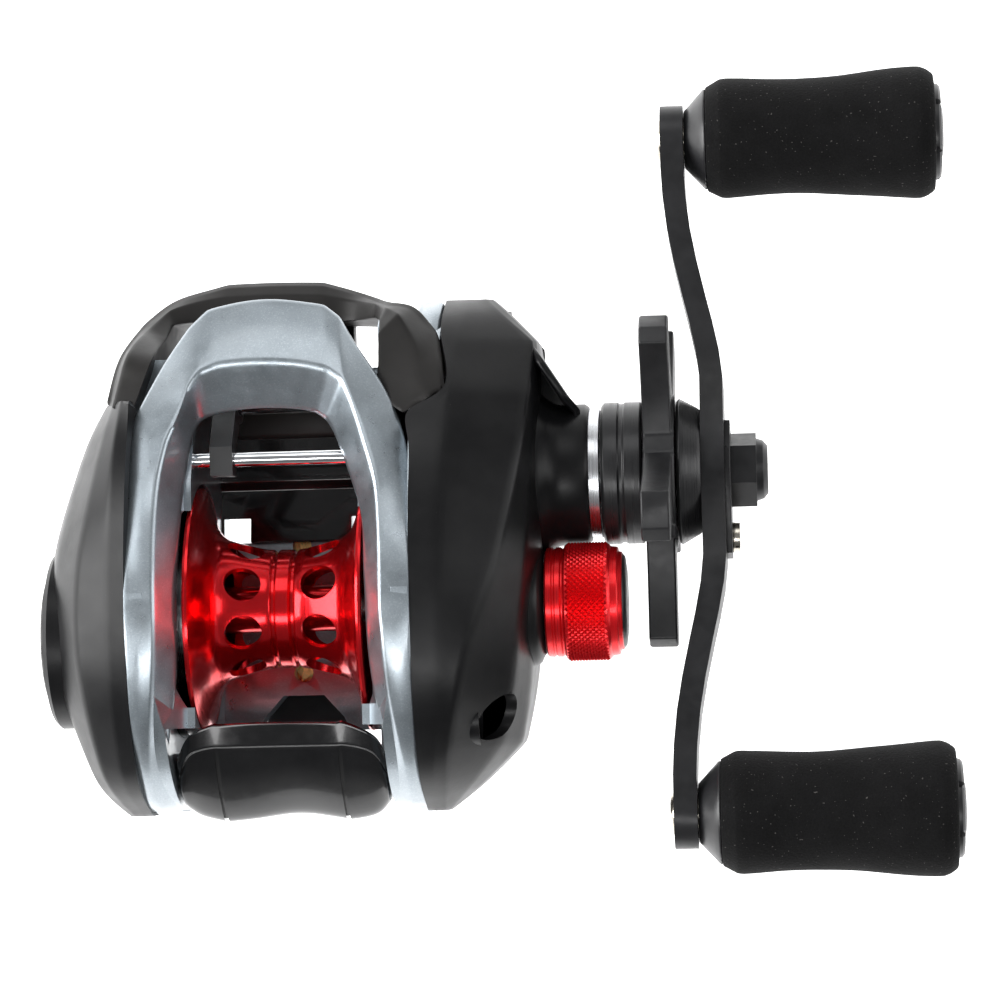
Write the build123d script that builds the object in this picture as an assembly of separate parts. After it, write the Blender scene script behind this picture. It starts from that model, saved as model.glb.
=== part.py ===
"""Low-profile baitcasting reel, right-hand retrieve, as an assembly of separate pieces.

Units are millimetres. +X runs along the spool axis towards the handle, +Y points
forward (the way the line leaves) and +Z is up, away from the rod. The origin lies on
the flat underside of the reel foot, straight below the middle of the spool.
"""

from build123d import *

import os
from math import acos, atan2, cos, degrees, hypot, pi, radians, sin, sqrt, tan

# ---------------------------------------------------------------- driving dimensions
SPOOL_Z = 23.0  # spool axis above the foot's seat
SPOOL_HALF = 11.7
FLANGE_R = 16.5
FLANGE_BORE = FLANGE_R + 0.45
DRUM_MID_R = 7.9
DRUM_END_R = 9.5
SPOOL_HOLES = 8  # lightening holes in each of the two rows
SHAFT_R = 1.9
PINION_SHAFT_R = 1.2

GEAR_MODULE = 0.43
MAIN_TEETH = 72
PINION_TEETH = 10
PROFILE_SHIFT = 0.42  # in modules, added to the pinion and taken from the main gear
PRESSURE = radians(20)
BACKLASH = 0.08
DRIVE_Y = 17.17
GEAR_CENTRES = GEAR_MODULE * (MAIN_TEETH + PINION_TEETH) / 2
DRIVE_Z = SPOOL_Z - sqrt(GEAR_CENTRES**2 - DRIVE_Y**2)
MESH_ANGLE = degrees(atan2(SPOOL_Z - DRIVE_Z, -DRIVE_Y))

WORM_MODULE = 0.5  # the two gears that turn the level-wind worm
WORM_DRIVE_TEETH = 30
WORM_TEETH = 22
WORM_Y = 29.0
WORM_CENTRES = WORM_MODULE * (WORM_DRIVE_TEETH + WORM_TEETH) / 2
WORM_Z = DRIVE_Z + sqrt(WORM_CENTRES**2 - (WORM_Y - DRIVE_Y) ** 2)
WORM_MESH_ANGLE = degrees(atan2(WORM_Z - DRIVE_Z, WORM_Y - DRIVE_Y))
WORM_R = 1.9
TUBE_R = 2.9
PILLAR_Y = 19.7
PILLAR_Z = 30.6
PILLAR_R = 1.0
GUIDE_X = -7.2  # middle of the line guide at rest

PLATE_IN = 11.0  # inner face of the side plates' lip around the spool
PLATE_OUT = 18.2  # outer face of the side plates
RECESS = 12.6  # depth at which the spool's flanges run
WEB_OUT = 15.8  # gear side of the handle-side web
RIM_OUT = 21.8  # outer face of the frame's gear-side rim
THUMB_HALF = 13.9
PALM_FACE = -30.6
GEAR_FACE = 34.6
BOSS_R = 9.4
BOSS_END = 40.8
SEAM_Y = 27.4  # where the side covers meet the nose cover
WALL = 1.5
POSTS = [(-1.0, 31.0), (-1.0, 15.0)]  # spring posts of the clutch yoke
COVER_SCREWS = [(-15.0, 32.5), (36.0, 16.0)]
RIVETS = [-8.5, 9.0]
DIAL_Y = -3.4
EYE = (WORM_Y + 2.8, WORM_Z - 7.6)
KNURL_R = 8.0
COLLAR_R = 9.5

STAR_ARMS = 5
STAR_R = 23.4
STAR_ANGLE = 35.5
STAR_IN = 48.2
STAR_OUT = 52.3
CRANK_TURN = -7.0  # how far the crank leans forward at rest
ARM_REACH = 45.8  # drive axis to knob axis
ARM_THICK = 3.1
ARM_END_R = 4.7
NUT_R = 5.0
ARM_HUB_X = 55.7
RETAINER_Y = DRIVE_Y - 9.1
KNOB_X = 54.2
KNOB_END = 89.3
SPINDLE_R = 2.0

RUN = 0.05  # radial running clearance
GAP = 0.3

# ---------------------------------------------------------------- small helpers


def prism_x(points, x0, x1, smooth=False):
    """A closed (y, z) outline extruded from x0 to x1."""
    line = Spline(*points, periodic=True) if smooth else Polyline(*points, close=True)
    return extrude(Plane.YZ.offset(x0) * make_face(line), x1 - x0)


def prism_y(points, y0, y1):
    """A closed (x, z) outline extruded from y0 to y1."""
    return extrude(Plane.XZ.offset(-y1) * make_face(Polyline(*points, close=True)), y1 - y0)


def prism_z(points, z0, z1):
    """A closed (x, y) outline extruded from z0 to z1."""
    return extrude(Plane.XY.offset(z0) * make_face(Polyline(*points, close=True)), z1 - z0)


def rod(r, x0, x1, y=0.0, z=SPOOL_Z):
    return extrude(Plane.YZ.offset(x0) * Pos(y, z) * Circle(r), x1 - x0)


def tube(r_out, r_in, x0, x1, y=0.0, z=SPOOL_Z):
    return extrude(Plane.YZ.offset(x0) * Pos(y, z) * (Circle(r_out) - Circle(r_in)), x1 - x0)


def turned(profile, y=0.0, z=SPOOL_Z):
    """A closed (x, radius) outline turned about the X line through (y, z)."""
    return Pos(0, y, z) * revolve(make_face(Polyline(*profile, close=True)), Axis.X)


def about_x(piece, angle, y=0.0, z=SPOOL_Z):
    return Pos(0, y, z) * Rot(angle, 0, 0) * Pos(0, -y, -z) * piece


def polar(r, angle, y=0.0, z=SPOOL_Z):
    return y + r * cos(radians(angle)), z + r * sin(radians(angle))


def shrunk(points, amount):
    """The outline's face, moved inwards all round."""
    return offset(make_face(Polyline(*points, close=True)), -amount, kind=Kind.INTERSECTION)


def inset(points, amount):
    """A rounded side outline moved inwards towards its middle."""
    middle_y, middle_z = 7.0, 21.0
    moved = []
    for y, z in points:
        scale = 1 - amount / hypot(y - middle_y, z - middle_z)
        moved.append((middle_y + (y - middle_y) * scale, middle_z + (z - middle_z) * scale))
    return moved


def bearing(r_out, r_in, x0, x1, y=0.0, z=SPOOL_Z):
    """A shielded ball bearing, drawn as one ring with a step between its races."""
    race = (r_out - r_in) * 0.28
    dip = 0.25
    profile = [
        (x0, r_in), (x0, r_in + race), (x0 + dip, r_in + race), (x0 + dip, r_out - race),
        (x0, r_out - race), (x0, r_out), (x1, r_out), (x1, r_out - race),
        (x1 - dip, r_out - race), (x1 - dip, r_in + race), (x1, r_in + race), (x1, r_in),
    ]
    return turned(profile, y, z)


def screw_x(x_head, x_seat, x_tip, head_r, shank_r, y, z):
    """A cross-head screw along X; its head spans x_head to x_seat."""
    body = rod(head_r, min(x_head, x_seat), max(x_head, x_seat), y, z)
    body += rod(shank_r, min(x_seat, x_tip), max(x_seat, x_tip), y, z)
    depth = 0.8
    inner = x_head - depth if x_head > x_seat else x_head + depth
    middle = (x_head + inner) / 2
    for size in ((depth, head_r * 1.2, 0.6), (depth, 0.6, head_r * 1.2)):
        body -= Pos(middle, y, z) * Box(*size)
    return body


# ---------------------------------------------------------------- gears


def spur(teeth, module, shift, x0, x1, y, z, bore, phase):
    """A spur gear with involute flanks; one tooth points at the angle phase."""
    pitch_r = module * teeth / 2
    base_r = pitch_r * cos(PRESSURE)
    tip_r = pitch_r + module * (1 + shift) - 0.05
    root_r = pitch_r - module * (1.25 - shift)
    half = (module * (pi / 2 + 2 * shift * tan(PRESSURE)) - BACKLASH) / 2
    steps = 3

    def involute(r):
        angle = acos(min(1.0, base_r / r))
        return tan(angle) - angle

    low = max(root_r, base_r)
    radii = [low + (tip_r - low) * i / steps for i in range(steps + 1)]
    flank = [(r, half / pitch_r + involute(pitch_r) - involute(r)) for r in radii]
    if root_r < low:
        flank.insert(0, (root_r, flank[0][1]))
    points = []
    for i in range(teeth):
        middle = 2 * pi * i / teeth + radians(phase)
        points += [(r * cos(middle - a), r * sin(middle - a)) for r, a in flank]
        points += [(r * cos(middle + a), r * sin(middle + a)) for r, a in reversed(flank)]
    disc = make_face(Polyline(*points, close=True)) - Circle(bore)
    return extrude(Plane.YZ.offset(x0) * Pos(y, z) * disc, x1 - x0)


# ---------------------------------------------------------------- outlines of the body

# Side plates, as (y, z).
PLATE_SIDE = [
    (-26.4, 19.0), (-25.4, 28.0), (-20.5, 35.6), (-12.0, 41.0), (-2.0, 43.3), (7.0, 43.5),
    (16.0, 41.8), (24.0, 38.6), (31.0, 34.6), (37.0, 29.4), (39.6, 23.0), (38.6, 14.5),
    (34.0, 6.6), (26.0, 2.0), (14.0, 0.8), (0.0, 1.0), (-13.0, 3.0), (-22.0, 9.0),
]
# Both side covers, as (y, z).
COVER_SIDE = [
    (-27.0, 19.0), (-25.6, 28.6), (-19.6, 37.6), (-10.0, 42.2), (3.0, 43.6), (15.0, 42.0),
    (26.0, 37.8), (34.0, 32.0), (38.8, 25.0), (40.1, 17.0), (36.5, 8.0), (28.0, 1.8),
    (14.0, 0.3), (0.0, 0.5), (-13.0, 2.6), (-22.6, 8.6),
]
# The hood: its top and underside as (y, z), then half outlines as (x, y, z).
HOOD_TOP = [(2.0, 43.4), (8.0, 43.2), (16.0, 41.5), (24.0, 38.7), (32.0, 36.2), (40.8, 32.0)]
HOOD_UNDER = [
    (40.8, 30.4), (36.0, 29.4), (31.0, 28.8), (25.0, 30.2), (16.0, 34.4), (8.0, 38.4), (2.0, 40.4),
]
HOOD_OUTER = [
    (0, 40.5), (4.6, 40.2), (9.3, 38.5), (13.9, 31.5), (17.8, 23.2), (PLATE_OUT, 16.5),
    (PLATE_OUT, 2.0),
]
HOOD_CREASE = [
    (0.0, 31.8, 36.0), (5.2, 31.6, 36.0), (9.6, 30.2, 35.6), (12.9, 25.0, 37.0),
    (14.0, 17.0, 39.2), (15.8, 6.0, 41.5), (16.2, 0.0, 42.2),
]
HOOD_INNER = [
    (0.0, 26.2, 30.0), (5.0, 26.0, 30.0), (8.7, 24.2, 30.0), (10.4, 19.5, 31.5),
    (12.3, 13.0, 34.5), (13.6, 6.0, 38.0), (14.2, 0.0, 39.0),
]
# The black covers seen from above as (x, y) and from the front as (x, z).
GEAR_TOP = [
    (PLATE_OUT, -27.0), (21.6, -26.7), (30.9, -18.2), (GEAR_FACE, 7.6), (33.8, 34.2),
    (28.6, 39.9), (RIM_OUT, 40.1), (RIM_OUT, SEAM_Y), (PLATE_OUT, SEAM_Y),
]
GEAR_FRONT = [
    (17.0, 46.0), (21.8, 44.4), (27.6, 41.0), (32.4, 34.5), (GEAR_FACE, 26.5),
    (GEAR_FACE, 9.0), (31.6, 2.2), (25.0, -0.4), (17.0, -0.6),
]
PALM_TOP = [
    (-PLATE_OUT, SEAM_Y), (-22.7, SEAM_Y), (-26.4, 19.3), (-29.9, 7.0), (PALM_FACE, -3.4),
    (-30.2, -14.0), (-20.8, -26.7), (-PLATE_OUT, -26.9),
]
PALM_FRONT = [
    (-17.0, 46.0), (-20.5, 44.2), (-26.5, 38.0), (PALM_FACE, 28.5), (PALM_FACE, 16.5),
    (-27.0, 5.5), (-21.0, 0.6), (-17.0, 0.0),
]
NOSE_TOP = [
    (-22.7, SEAM_Y), (-21.2, 30.5), (-16.3, 38.3), (-11.7, 42.7), (-5.4, 44.4), (6.2, 44.0),
    (13.2, 41.2), (17.8, 37.0), (20.9, 31.4), (RIM_OUT, SEAM_Y), (15.8, SEAM_Y), (14.6, 30.0),
    (14.6, 36.0), (12.4, 38.4), (-13.4, 39.2), (-16.4, 36.4), (-16.4, SEAM_Y),
]
NOSE_SIDE = [
    (SEAM_Y, 34.2), (29.4, 30.6), (32.4, 24.0), (35.6, 17.4), (40.6, 15.6), (43.4, 13.4),
    (44.4, 10.4), (42.8, 6.6), (37.0, 3.4), (SEAM_Y, 1.2),
]
THUMB_SIDE = [
    (-17.7, 34.8), (-17.9, 33.2), (-20.0, 28.0), (-20.4, 16.6), (-23.6, 16.6), (-26.2, 19.6),
    (-28.2, 24.0), (-26.6, 28.0), (-21.8, 33.2),
]


def mirrored(half):
    """A half outline starting on the middle line, closed by its mirror image."""
    return half + [(-p[0], *p[1:]) for p in reversed(half) if p[0] > 0]


def hood_opening(z):
    """The hood's opening at height z, on the lines from inner edge to crease."""
    half = []
    for low, high in zip(HOOD_INNER, HOOD_CREASE):
        t = (z - low[2]) / (high[2] - low[2])
        half.append((low[0] + (high[0] - low[0]) * t, low[1] + (high[1] - low[1]) * t))
    return Plane.XY.offset(z) * make_face(Polyline(*mirrored(half), close=True))


# ---------------------------------------------------------------- frame, hood and nose


def lower_deck():
    """The floor that joins the side plates and carries the foot."""
    section = [
        (-16.5, 5.2), (-14.0, 3.2), (24.0, 3.2), (24.0, 5.2), (13.0, 6.6), (6.0, 7.4),
        (-6.0, 7.4), (-13.0, 8.4), (-16.5, 8.0),
    ]
    deck = prism_x(section, -PLATE_IN - 0.5, PLATE_IN + 0.5) - rod(FLANGE_R + 0.6, -20, 20)
    for side in (1, -1):
        front = [(side * 10.8, 9.6), (side * 7.0, 9.6), (side * 7.0, 15.4), (side * 10.8, 17.0)]
        deck -= prism_z(front, 0, 12)
    arch = [(-7.0, -18.0), (-5.5, -14.6), (-2.8, -11.6), (2.8, -11.6), (5.5, -14.6), (7.0, -18.0)]
    return deck - prism_z(arch, 0, 12)


def frame():
    body = prism_x(PLATE_SIDE, -PLATE_OUT, -PLATE_IN, smooth=True)
    body += prism_x(PLATE_SIDE, PLATE_IN, PLATE_OUT, smooth=True)
    rim = prism_x(inset(PLATE_SIDE, 1.6), PLATE_OUT - 0.5, RIM_OUT, smooth=True)
    body += rim
    body -= prism_x(inset(PLATE_SIDE, 3.6), WEB_OUT, RIM_OUT + 1, smooth=True)
    # The plates' front corners are open between the hood and the nose cover.
    body -= Pos(-15.0, 40.0, 20.0) * Box(10.0, 13.4, 60.0)
    body -= Pos(11.0, 40.0, 20.0) * Box(5.2, 17.0, 60.0)
    # Seat of the hood on both plates.
    over = [(2.0, 60.0)] + list(reversed(HOOD_UNDER)) + [(60.0, 30.4), (60.0, 60.0)]
    body -= prism_x(over, -PLATE_OUT - 1, PLATE_OUT)
    # Room behind the spool for the thumb bar and its two guide grooves.
    rear = [(-15.6, 12.0), (-40.0, 12.0), (-40.0, 60.0), (-15.6, 60.0)]
    body -= prism_x(rear, -THUMB_HALF - GAP, THUMB_HALF + GAP)
    groove = [(-23.2, 12.0), (-20.4, 12.0), (-20.4, 29.0), (-23.2, 29.0)]
    body -= prism_x(groove, -15.0, 15.0)
    # Slopes that lead from the plates' tops down to the spool.
    for side in (1, -1):
        slope = [(side * 16.4, 44.2), (side * 10.9, 44.2), (side * 10.9, 34.0), (side * 12.0, 34.0)]
        body -= prism_y(slope, -30, 45)
    body -= rod(FLANGE_BORE, -PLATE_OUT - 1, -PLATE_IN + 1)
    body -= rod(FLANGE_BORE, PLATE_IN - 1, RECESS)
    body += lower_deck()
    # Bores for the bearings, the worm's tube and the guide pillar.
    body -= rod(5.0, RECESS - 1, WEB_OUT + 1)
    body -= rod(4.5, 13.4, WEB_OUT + 1, DRIVE_Y, DRIVE_Z)
    body -= rod(TUBE_R, -16.5, WEB_OUT + 1, WORM_Y, WORM_Z)
    body -= rod(PILLAR_R, -14.0, 14.0, PILLAR_Y, PILLAR_Z)
    # Spring posts of the yoke and bosses for the cover's screws.
    for y, z in POSTS:
        body += rod(0.8, WEB_OUT - 1, 28.0, y, z)
    for y, z in COVER_SCREWS:
        body += rod(2.8, WEB_OUT, RIM_OUT, y, z) & prism_x(inset(PLATE_SIDE, 1.7), 0, 40, smooth=True)
        body -= rod(1.2, 16.2, RIM_OUT, y, z)
    # Holes of the foot's rivets.
    for y in RIVETS:
        body -= Pos(0, y, 4) * Cylinder(1.3, 10)
    return body


def hood():
    outline = prism_z(mirrored(HOOD_OUTER), 20, 60)
    band = prism_x(HOOD_TOP + HOOD_UNDER, -25, 25)
    opening = loft([hood_opening(22.0).face(), hood_opening(50.0).face()], ruled=True)
    return (outline & band) - opening


def nose_cover():
    body = prism_z(NOSE_TOP, 0, 40) & prism_x(NOSE_SIDE, -30, 30)
    body -= prism_x(PLATE_SIDE, -PLATE_OUT, PLATE_OUT, smooth=True)
    body -= prism_x(inset(PLATE_SIDE, 1.6), PLATE_OUT - 0.5, RIM_OUT, smooth=True)
    return body - prism_x(HOOD_TOP + HOOD_UNDER, -PLATE_OUT, PLATE_OUT)


# ---------------------------------------------------------------- side covers


def cover_shell(top, side, front, wall):
    """A facetted shell: three outlines crossed, then hollowed."""
    outer = prism_z(top, -5, 60) & prism_x(side, -50, 50) & prism_y(front, -40, 50)
    inner = extrude(Plane.XY.offset(-5) * shrunk(top, wall), 65)
    inner &= extrude(Plane.YZ.offset(-50) * shrunk(side, wall), 100)
    inner &= extrude(Plane.XZ.offset(-50) * shrunk(front, wall), 90)
    return outer, inner


def gear_cover():
    outer, inner = cover_shell(GEAR_TOP, COVER_SIDE, GEAR_FRONT, WALL)
    body = outer - inner
    body -= prism_x(inset(COVER_SIDE, 2.4), 10, RIM_OUT + 2) & outer
    body -= prism_x(inset(PLATE_SIDE, 1.6), PLATE_OUT - 0.5, RIM_OUT, smooth=True)
    # Housing of the one-way bearing, the spool shaft's bearing and the tension neck.
    body += rod(8.6, 29.6, GEAR_FACE, DRIVE_Y, DRIVE_Z)
    body += rod(BOSS_R, 33.0, BOSS_END, DRIVE_Y, DRIVE_Z)
    fairing = [(33.0, 17.0), (33.0, 34.4), (36.0, 30.5), (39.0, 26.0), (39.0, 17.0)]
    body += prism_z(fairing, 15.0, 23.0)
    body -= rod(7.0, 30.4, 39.0, DRIVE_Y, DRIVE_Z)
    body -= rod(5.0, 29.0, BOSS_END + 1, DRIVE_Y, DRIVE_Z)
    body += rod(5.4, 30.0, 33.0) + rod(8.3, 32.0, 34.6) + rod(5.4, 34.0, 38.0)
    body -= rod(3.6, 29.9, 32.4)
    body -= rod(2.6, 32.3, 39.0)
    for y, z in POSTS:
        body += rod(2.3, 28.0, 33.0, y, z) & outer
    for y, z in COVER_SCREWS:
        body += rod(3.0, RIM_OUT, 40.0, y, z) & outer
        body -= rod(1.3, RIM_OUT - 1, 24.0, y, z)
        body -= rod(2.3, 23.6, 40.0, y, z)
    return body


def palm_cover():
    outer, inner = cover_shell(PALM_TOP, COVER_SIDE, PALM_FRONT, WALL)
    body = outer - inner
    body -= prism_x(inset(COVER_SIDE, 2.2), -PLATE_OUT - 2, 0) & outer
    for angle in (90, 210, 330):
        y, z = polar(12.5, angle)
        body += rod(2.2, PALM_FACE + 0.5, -PLATE_OUT, y, z) & outer
    body -= rod(10.9, -40, -29.4, DIAL_Y)
    body -= rod(2.0 + RUN, -40, -20, DIAL_Y)
    return body


def brake_dial():
    """The brake dial let into the palm cover, with its finger ridges and spindle."""
    profile = [(-32.0, 0), (-32.0, 7.6), (-31.4, 9.6), (-30.4, 10.6), (-29.6, 10.6), (-29.6, 0)]
    body = turned(profile, DIAL_Y)
    body += rod(2.0, -29.7, -26.0, DIAL_Y)
    ridge = Pos(-32.0, DIAL_Y, SPOOL_Z) * Box(1.2, 15.0, 2.4)
    for angle in (45, 135, 225, 315):
        body -= Pos(-32.2, DIAL_Y, SPOOL_Z) * Rot(angle, 0, 0) * Pos(0, 5.6, 0) * Box(1.4, 4.6, 3.4)
    return body + (ridge & rod(9.0, -32.0, -31.0, DIAL_Y))


def set_plate():
    """The cup behind the palm cover that holds the spool's left bearing."""
    cup = turned([
        (-PLATE_OUT, 0), (-PLATE_OUT, 16.9), (-13.0, 16.9), (-13.0, 15.4), (-17.0, 15.4),
        (-17.0, 5.4), (-15.4, 5.4), (-15.4, 0),
    ])
    return cup - rod(4.0, -18.0, -15.3)


# ---------------------------------------------------------------- spool


def spool():
    outer = [
        (-SPOOL_HALF, 0), (-SPOOL_HALF, FLANGE_R), (-10.9, FLANGE_R), (-9.9, 12.6), (-8.6, 9.9),
        (-7.2, 9.0), (-3.2, 8.1), (-1.5, DRUM_MID_R), (-1.1, 7.3), (-0.7, DRUM_MID_R),
        (1.2, DRUM_MID_R), (1.6, 7.3), (2.0, DRUM_MID_R), (3.6, 8.1), (7.2, 9.0), (8.6, 9.9),
        (9.9, 12.6), (10.9, FLANGE_R), (SPOOL_HALF, FLANGE_R), (SPOOL_HALF, 0),
    ]
    body = turned(outer)
    for side in (1, -1):
        hollow = [
            (side * 1.2, 3.2), (side * 1.2, 6.4), (side * 5.5, 7.2), (side * 8.2, 8.6),
            (side * 9.6, 11.6), (side * 10.7, 15.2), (side * 12.0, 15.8), (side * 12.0, 3.2),
        ]
        body -= turned(hollow)
    body -= rod(3.3, -12.5, -9.0)
    body -= rod(3.3, 9.0, 12.5)
    body -= rod(SHAFT_R, -13, 13)
    holes = []
    for x in (-4.9, 5.1):
        for i in range(SPOOL_HOLES):
            y, z = polar(8.0, 22.5 + 360 / SPOOL_HOLES * i)
            hole = Pos(x, 0, SPOOL_Z) * Rot(22.5 + 360 / SPOOL_HOLES * i, 0, 0)
            holes.append(hole * Pos(0, 8.0, 0) * Rot(90, 0, 0) * Cylinder(2.3, 6.0))
    return body - holes


def spool_shaft():
    profile = [
        (-18.0, 0), (-18.0, 1.5), (-10.5, 1.5), (-10.5, SHAFT_R), (11.9, SHAFT_R), (11.9, 1.75),
        (16.9, 1.75), (16.9, PINION_SHAFT_R), (33.4, PINION_SHAFT_R), (33.8, 0.7), (33.8, 0),
    ]
    return turned(profile) - Pos(18.8, 0, SPOOL_Z) * Rot(MESH_ANGLE, 0, 0) * Cylinder(0.5, 6)


def cross_pin():
    return Pos(18.8, 0, SPOOL_Z) * Rot(MESH_ANGLE, 0, 0) * Cylinder(0.5, 5.2)


def brake_rotor():
    body = tube(9.4, 1.5, -14.2, -12.8) + tube(3.0, 1.5, -14.2, -11.0)
    for i in range(6):
        y, z = polar(6.2, 60 * i)
        body -= rod(1.7, -15, -12, y, z)
    return body


def magnet_ring():
    return tube(10.4, 6.0, -17.0, -15.6)


# ---------------------------------------------------------------- clutch


def pinion():
    body = spur(PINION_TEETH, GEAR_MODULE, PROFILE_SHIFT, 21.6, 27.4, 0, SPOOL_Z, 0.5,
                MESH_ANGLE + 180 + 180 / PINION_TEETH)
    body += rod(1.9, 20.0, 21.7) + rod(3.4, 18.2, 20.2)
    body -= rod(PINION_SHAFT_R + RUN, 18, 28)
    slot = Pos(18.75, 0, SPOOL_Z) * Rot(MESH_ANGLE, 0, 0) * Box(1.3, 1.12, 8)
    return body - slot


def clutch_yoke():
    """The fork that rides in the pinion's groove and slides on the two posts."""
    outline = [
        (-4.4, 12.6), (1.4, 12.6), (2.4, 17.0), (3.6, 20.0), (3.6, 26.0), (2.4, 29.0), (1.4, 33.4),
        (-4.4, 33.4), (-5.2, 23.0),
    ]
    body = prism_x(outline, 20.3, 21.5) - rod(2.0, 20, 22)
    body -= prism_x([(0, 21.0), (10, 21.0), (10, 25.0), (0, 25.0)], 20, 22)
    for y, z in POSTS:
        body -= rod(0.8 + RUN, 20, 22, y, z)
    return body


def coil(radius, wire, height, turns):
    """A compression spring standing on the origin along +Z."""
    path = Helix(pitch=height / turns, height=height, radius=radius)
    section = Plane(origin=path @ 0, z_dir=path % 0) * Circle(wire)
    return sweep(section, path=path)


def yoke_spring(index):
    y, z = POSTS[index]
    wire = 0.25
    length = 28.0 - 21.5 - 2 * wire
    return Pos(21.5 + wire, y, z) * Rot(0, 90, 0) * coil(1.3, wire, length, 5)


def thumb_bar():
    body = prism_x(THUMB_SIDE, -THUMB_HALF, THUMB_HALF)
    # Ears that run in the frame's grooves.
    body += prism_x([(-23.1, 16.6), (-20.5, 16.6), (-20.5, 24.8), (-23.1, 24.8)], -14.9, 14.9)
    hollow = [(-22.2, 15.0), (-22.2, 27.6), (-24.4, 25.6), (-25.6, 22.0), (-24.0, 15.0)]
    body -= prism_x(hollow, -11.6, 11.6)
    # The lip in front is narrower than the body.
    for side in (1, -1):
        corner = [(side * 12.0, -17.0), (side * 14.2, -21.6), (side * 16.0, -21.6), (side * 16.0, -17.0)]
        body -= prism_z(corner, 26.0, 40.0)
    for x in (-8.4, 8.0):
        body -= prism_z([(x - 0.4, -40), (x + 0.4, -40), (x + 0.4, -26.3), (x - 0.4, -26.3)], 10, 40)
    return body


def clutch_spring():
    wire = 0.3
    return Pos(0, -21.4, 12.0 + wire) * coil(1.6, wire, 4.6 - 2 * wire, 3)


# ---------------------------------------------------------------- drive train


def on_crank(piece):
    """Leans a piece forward with the crank."""
    return about_x(piece, CRANK_TURN, DRIVE_Y, DRIVE_Z)


def drive_shaft():
    body = turned([
        (13.6, 0), (13.6, 2.5), (17.0, 2.5), (17.0, 3.0), (21.4, 3.0), (21.4, 7.5), (22.6, 7.5),
        (22.6, 3.0), (46.6, 3.0), (46.6, 2.6), (62.6, 2.6), (63.0, 2.2), (63.0, 0),
    ], DRIVE_Y, DRIVE_Z)
    flats = Pos(ARM_HUB_X + 4.2, DRIVE_Y, DRIVE_Z) * (Box(8.4, 8.0, 8.0) - Box(8.5, 8.0, 4.4))
    return body - on_crank(flats)


def main_gear():
    body = spur(MAIN_TEETH, GEAR_MODULE, -PROFILE_SHIFT, 23.4, 26.4, DRIVE_Y, DRIVE_Z,
                3.0 + RUN, MESH_ANGLE)
    return body - tube(12.6, 3.0, 24.6, 27.0, DRIVE_Y, DRIVE_Z)


def level_drive_gear():
    return spur(WORM_DRIVE_TEETH, WORM_MODULE, 0, 19.2, 21.2, DRIVE_Y, DRIVE_Z, 3.0,
                WORM_MESH_ANGLE)


def worm_gear():
    return spur(WORM_TEETH, WORM_MODULE, 0, 19.0, 21.4, WORM_Y, WORM_Z, 1.5,
                WORM_MESH_ANGLE + 180 + 180 / WORM_TEETH)


def pressure_plate():
    body = tube(12.0, 3.0 + RUN, 25.4, 26.8, DRIVE_Y, DRIVE_Z)
    for i in range(6):
        y, z = polar(8.2, 60 * i, DRIVE_Y, DRIVE_Z)
        body -= rod(1.6, 25, 27, y, z)
    return body


def drag_sleeve():
    return tube(4.5, 3.0, 26.8, 46.2, DRIVE_Y, DRIVE_Z)


def drag_collar():
    """The dark drum between the cover's boss and the star wheel."""
    profile = [
        (42.5, 4.5), (42.5, COLLAR_R - 0.4), (42.9, COLLAR_R), (44.7, COLLAR_R),
        (44.9, COLLAR_R - 0.2), (45.4, COLLAR_R - 0.2), (45.6, COLLAR_R), (47.7, COLLAR_R),
        (48.0, COLLAR_R - 0.4), (48.0, 4.5),
    ]
    return turned(profile, DRIVE_Y, DRIVE_Z)


def star_wheel():
    root, tip = 6.2, 3.2
    arm = [(5.0, -root), (13.0, -3.6), (19.0, -3.2), (22.4, -tip), (STAR_R, -1.2), (STAR_R, 1.6),
           (22.2, 3.6), (18.0, 3.0), (13.0, 3.6), (5.0, root)]
    body = rod(10.2, STAR_IN, STAR_OUT, DRIVE_Y, DRIVE_Z)
    for i in range(STAR_ARMS):
        paddle = prism_x(arm, STAR_IN, STAR_OUT - 0.3)
        body += Pos(0, DRIVE_Y, DRIVE_Z) * Rot(STAR_ANGLE + 360 / STAR_ARMS * i, 0, 0) * paddle
    body -= rod(2.6 + RUN, 40, 60, DRIVE_Y, DRIVE_Z)
    # The hexagon pocket that turns the drag nut.
    pocket = Plane.YZ.offset(STAR_IN - 1) * Pos(DRIVE_Y, DRIVE_Z) * RegularPolygon(5.6, 6)
    return body - extrude(pocket, 3.9)


def drag_nut():
    nut = Plane.YZ.offset(STAR_IN + 0.5) * Pos(DRIVE_Y, DRIVE_Z) * (RegularPolygon(5.5, 6) - Circle(2.6 + RUN))
    return extrude(nut, 2.0)


def star_spacer():
    profile = [
        (52.5, 2.6), (52.5, 9.4), (52.9, 9.8), (55.2, 8.5), (ARM_HUB_X, 8.1), (ARM_HUB_X, 2.6),
    ]
    return turned(profile, DRIVE_Y, DRIVE_Z)


# ---------------------------------------------------------------- handle

ARM_CURVE = [
    (0.0, ARM_HUB_X), (12.0, ARM_HUB_X), (15.6, 55.3), (19.6, 54.5), (23.0, 53.7),
    (28.0, 52.6), (32.5, 51.8), (37.0, 51.3), (41.0, 51.1), (ARM_REACH + 6, 51.1),
]


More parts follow.
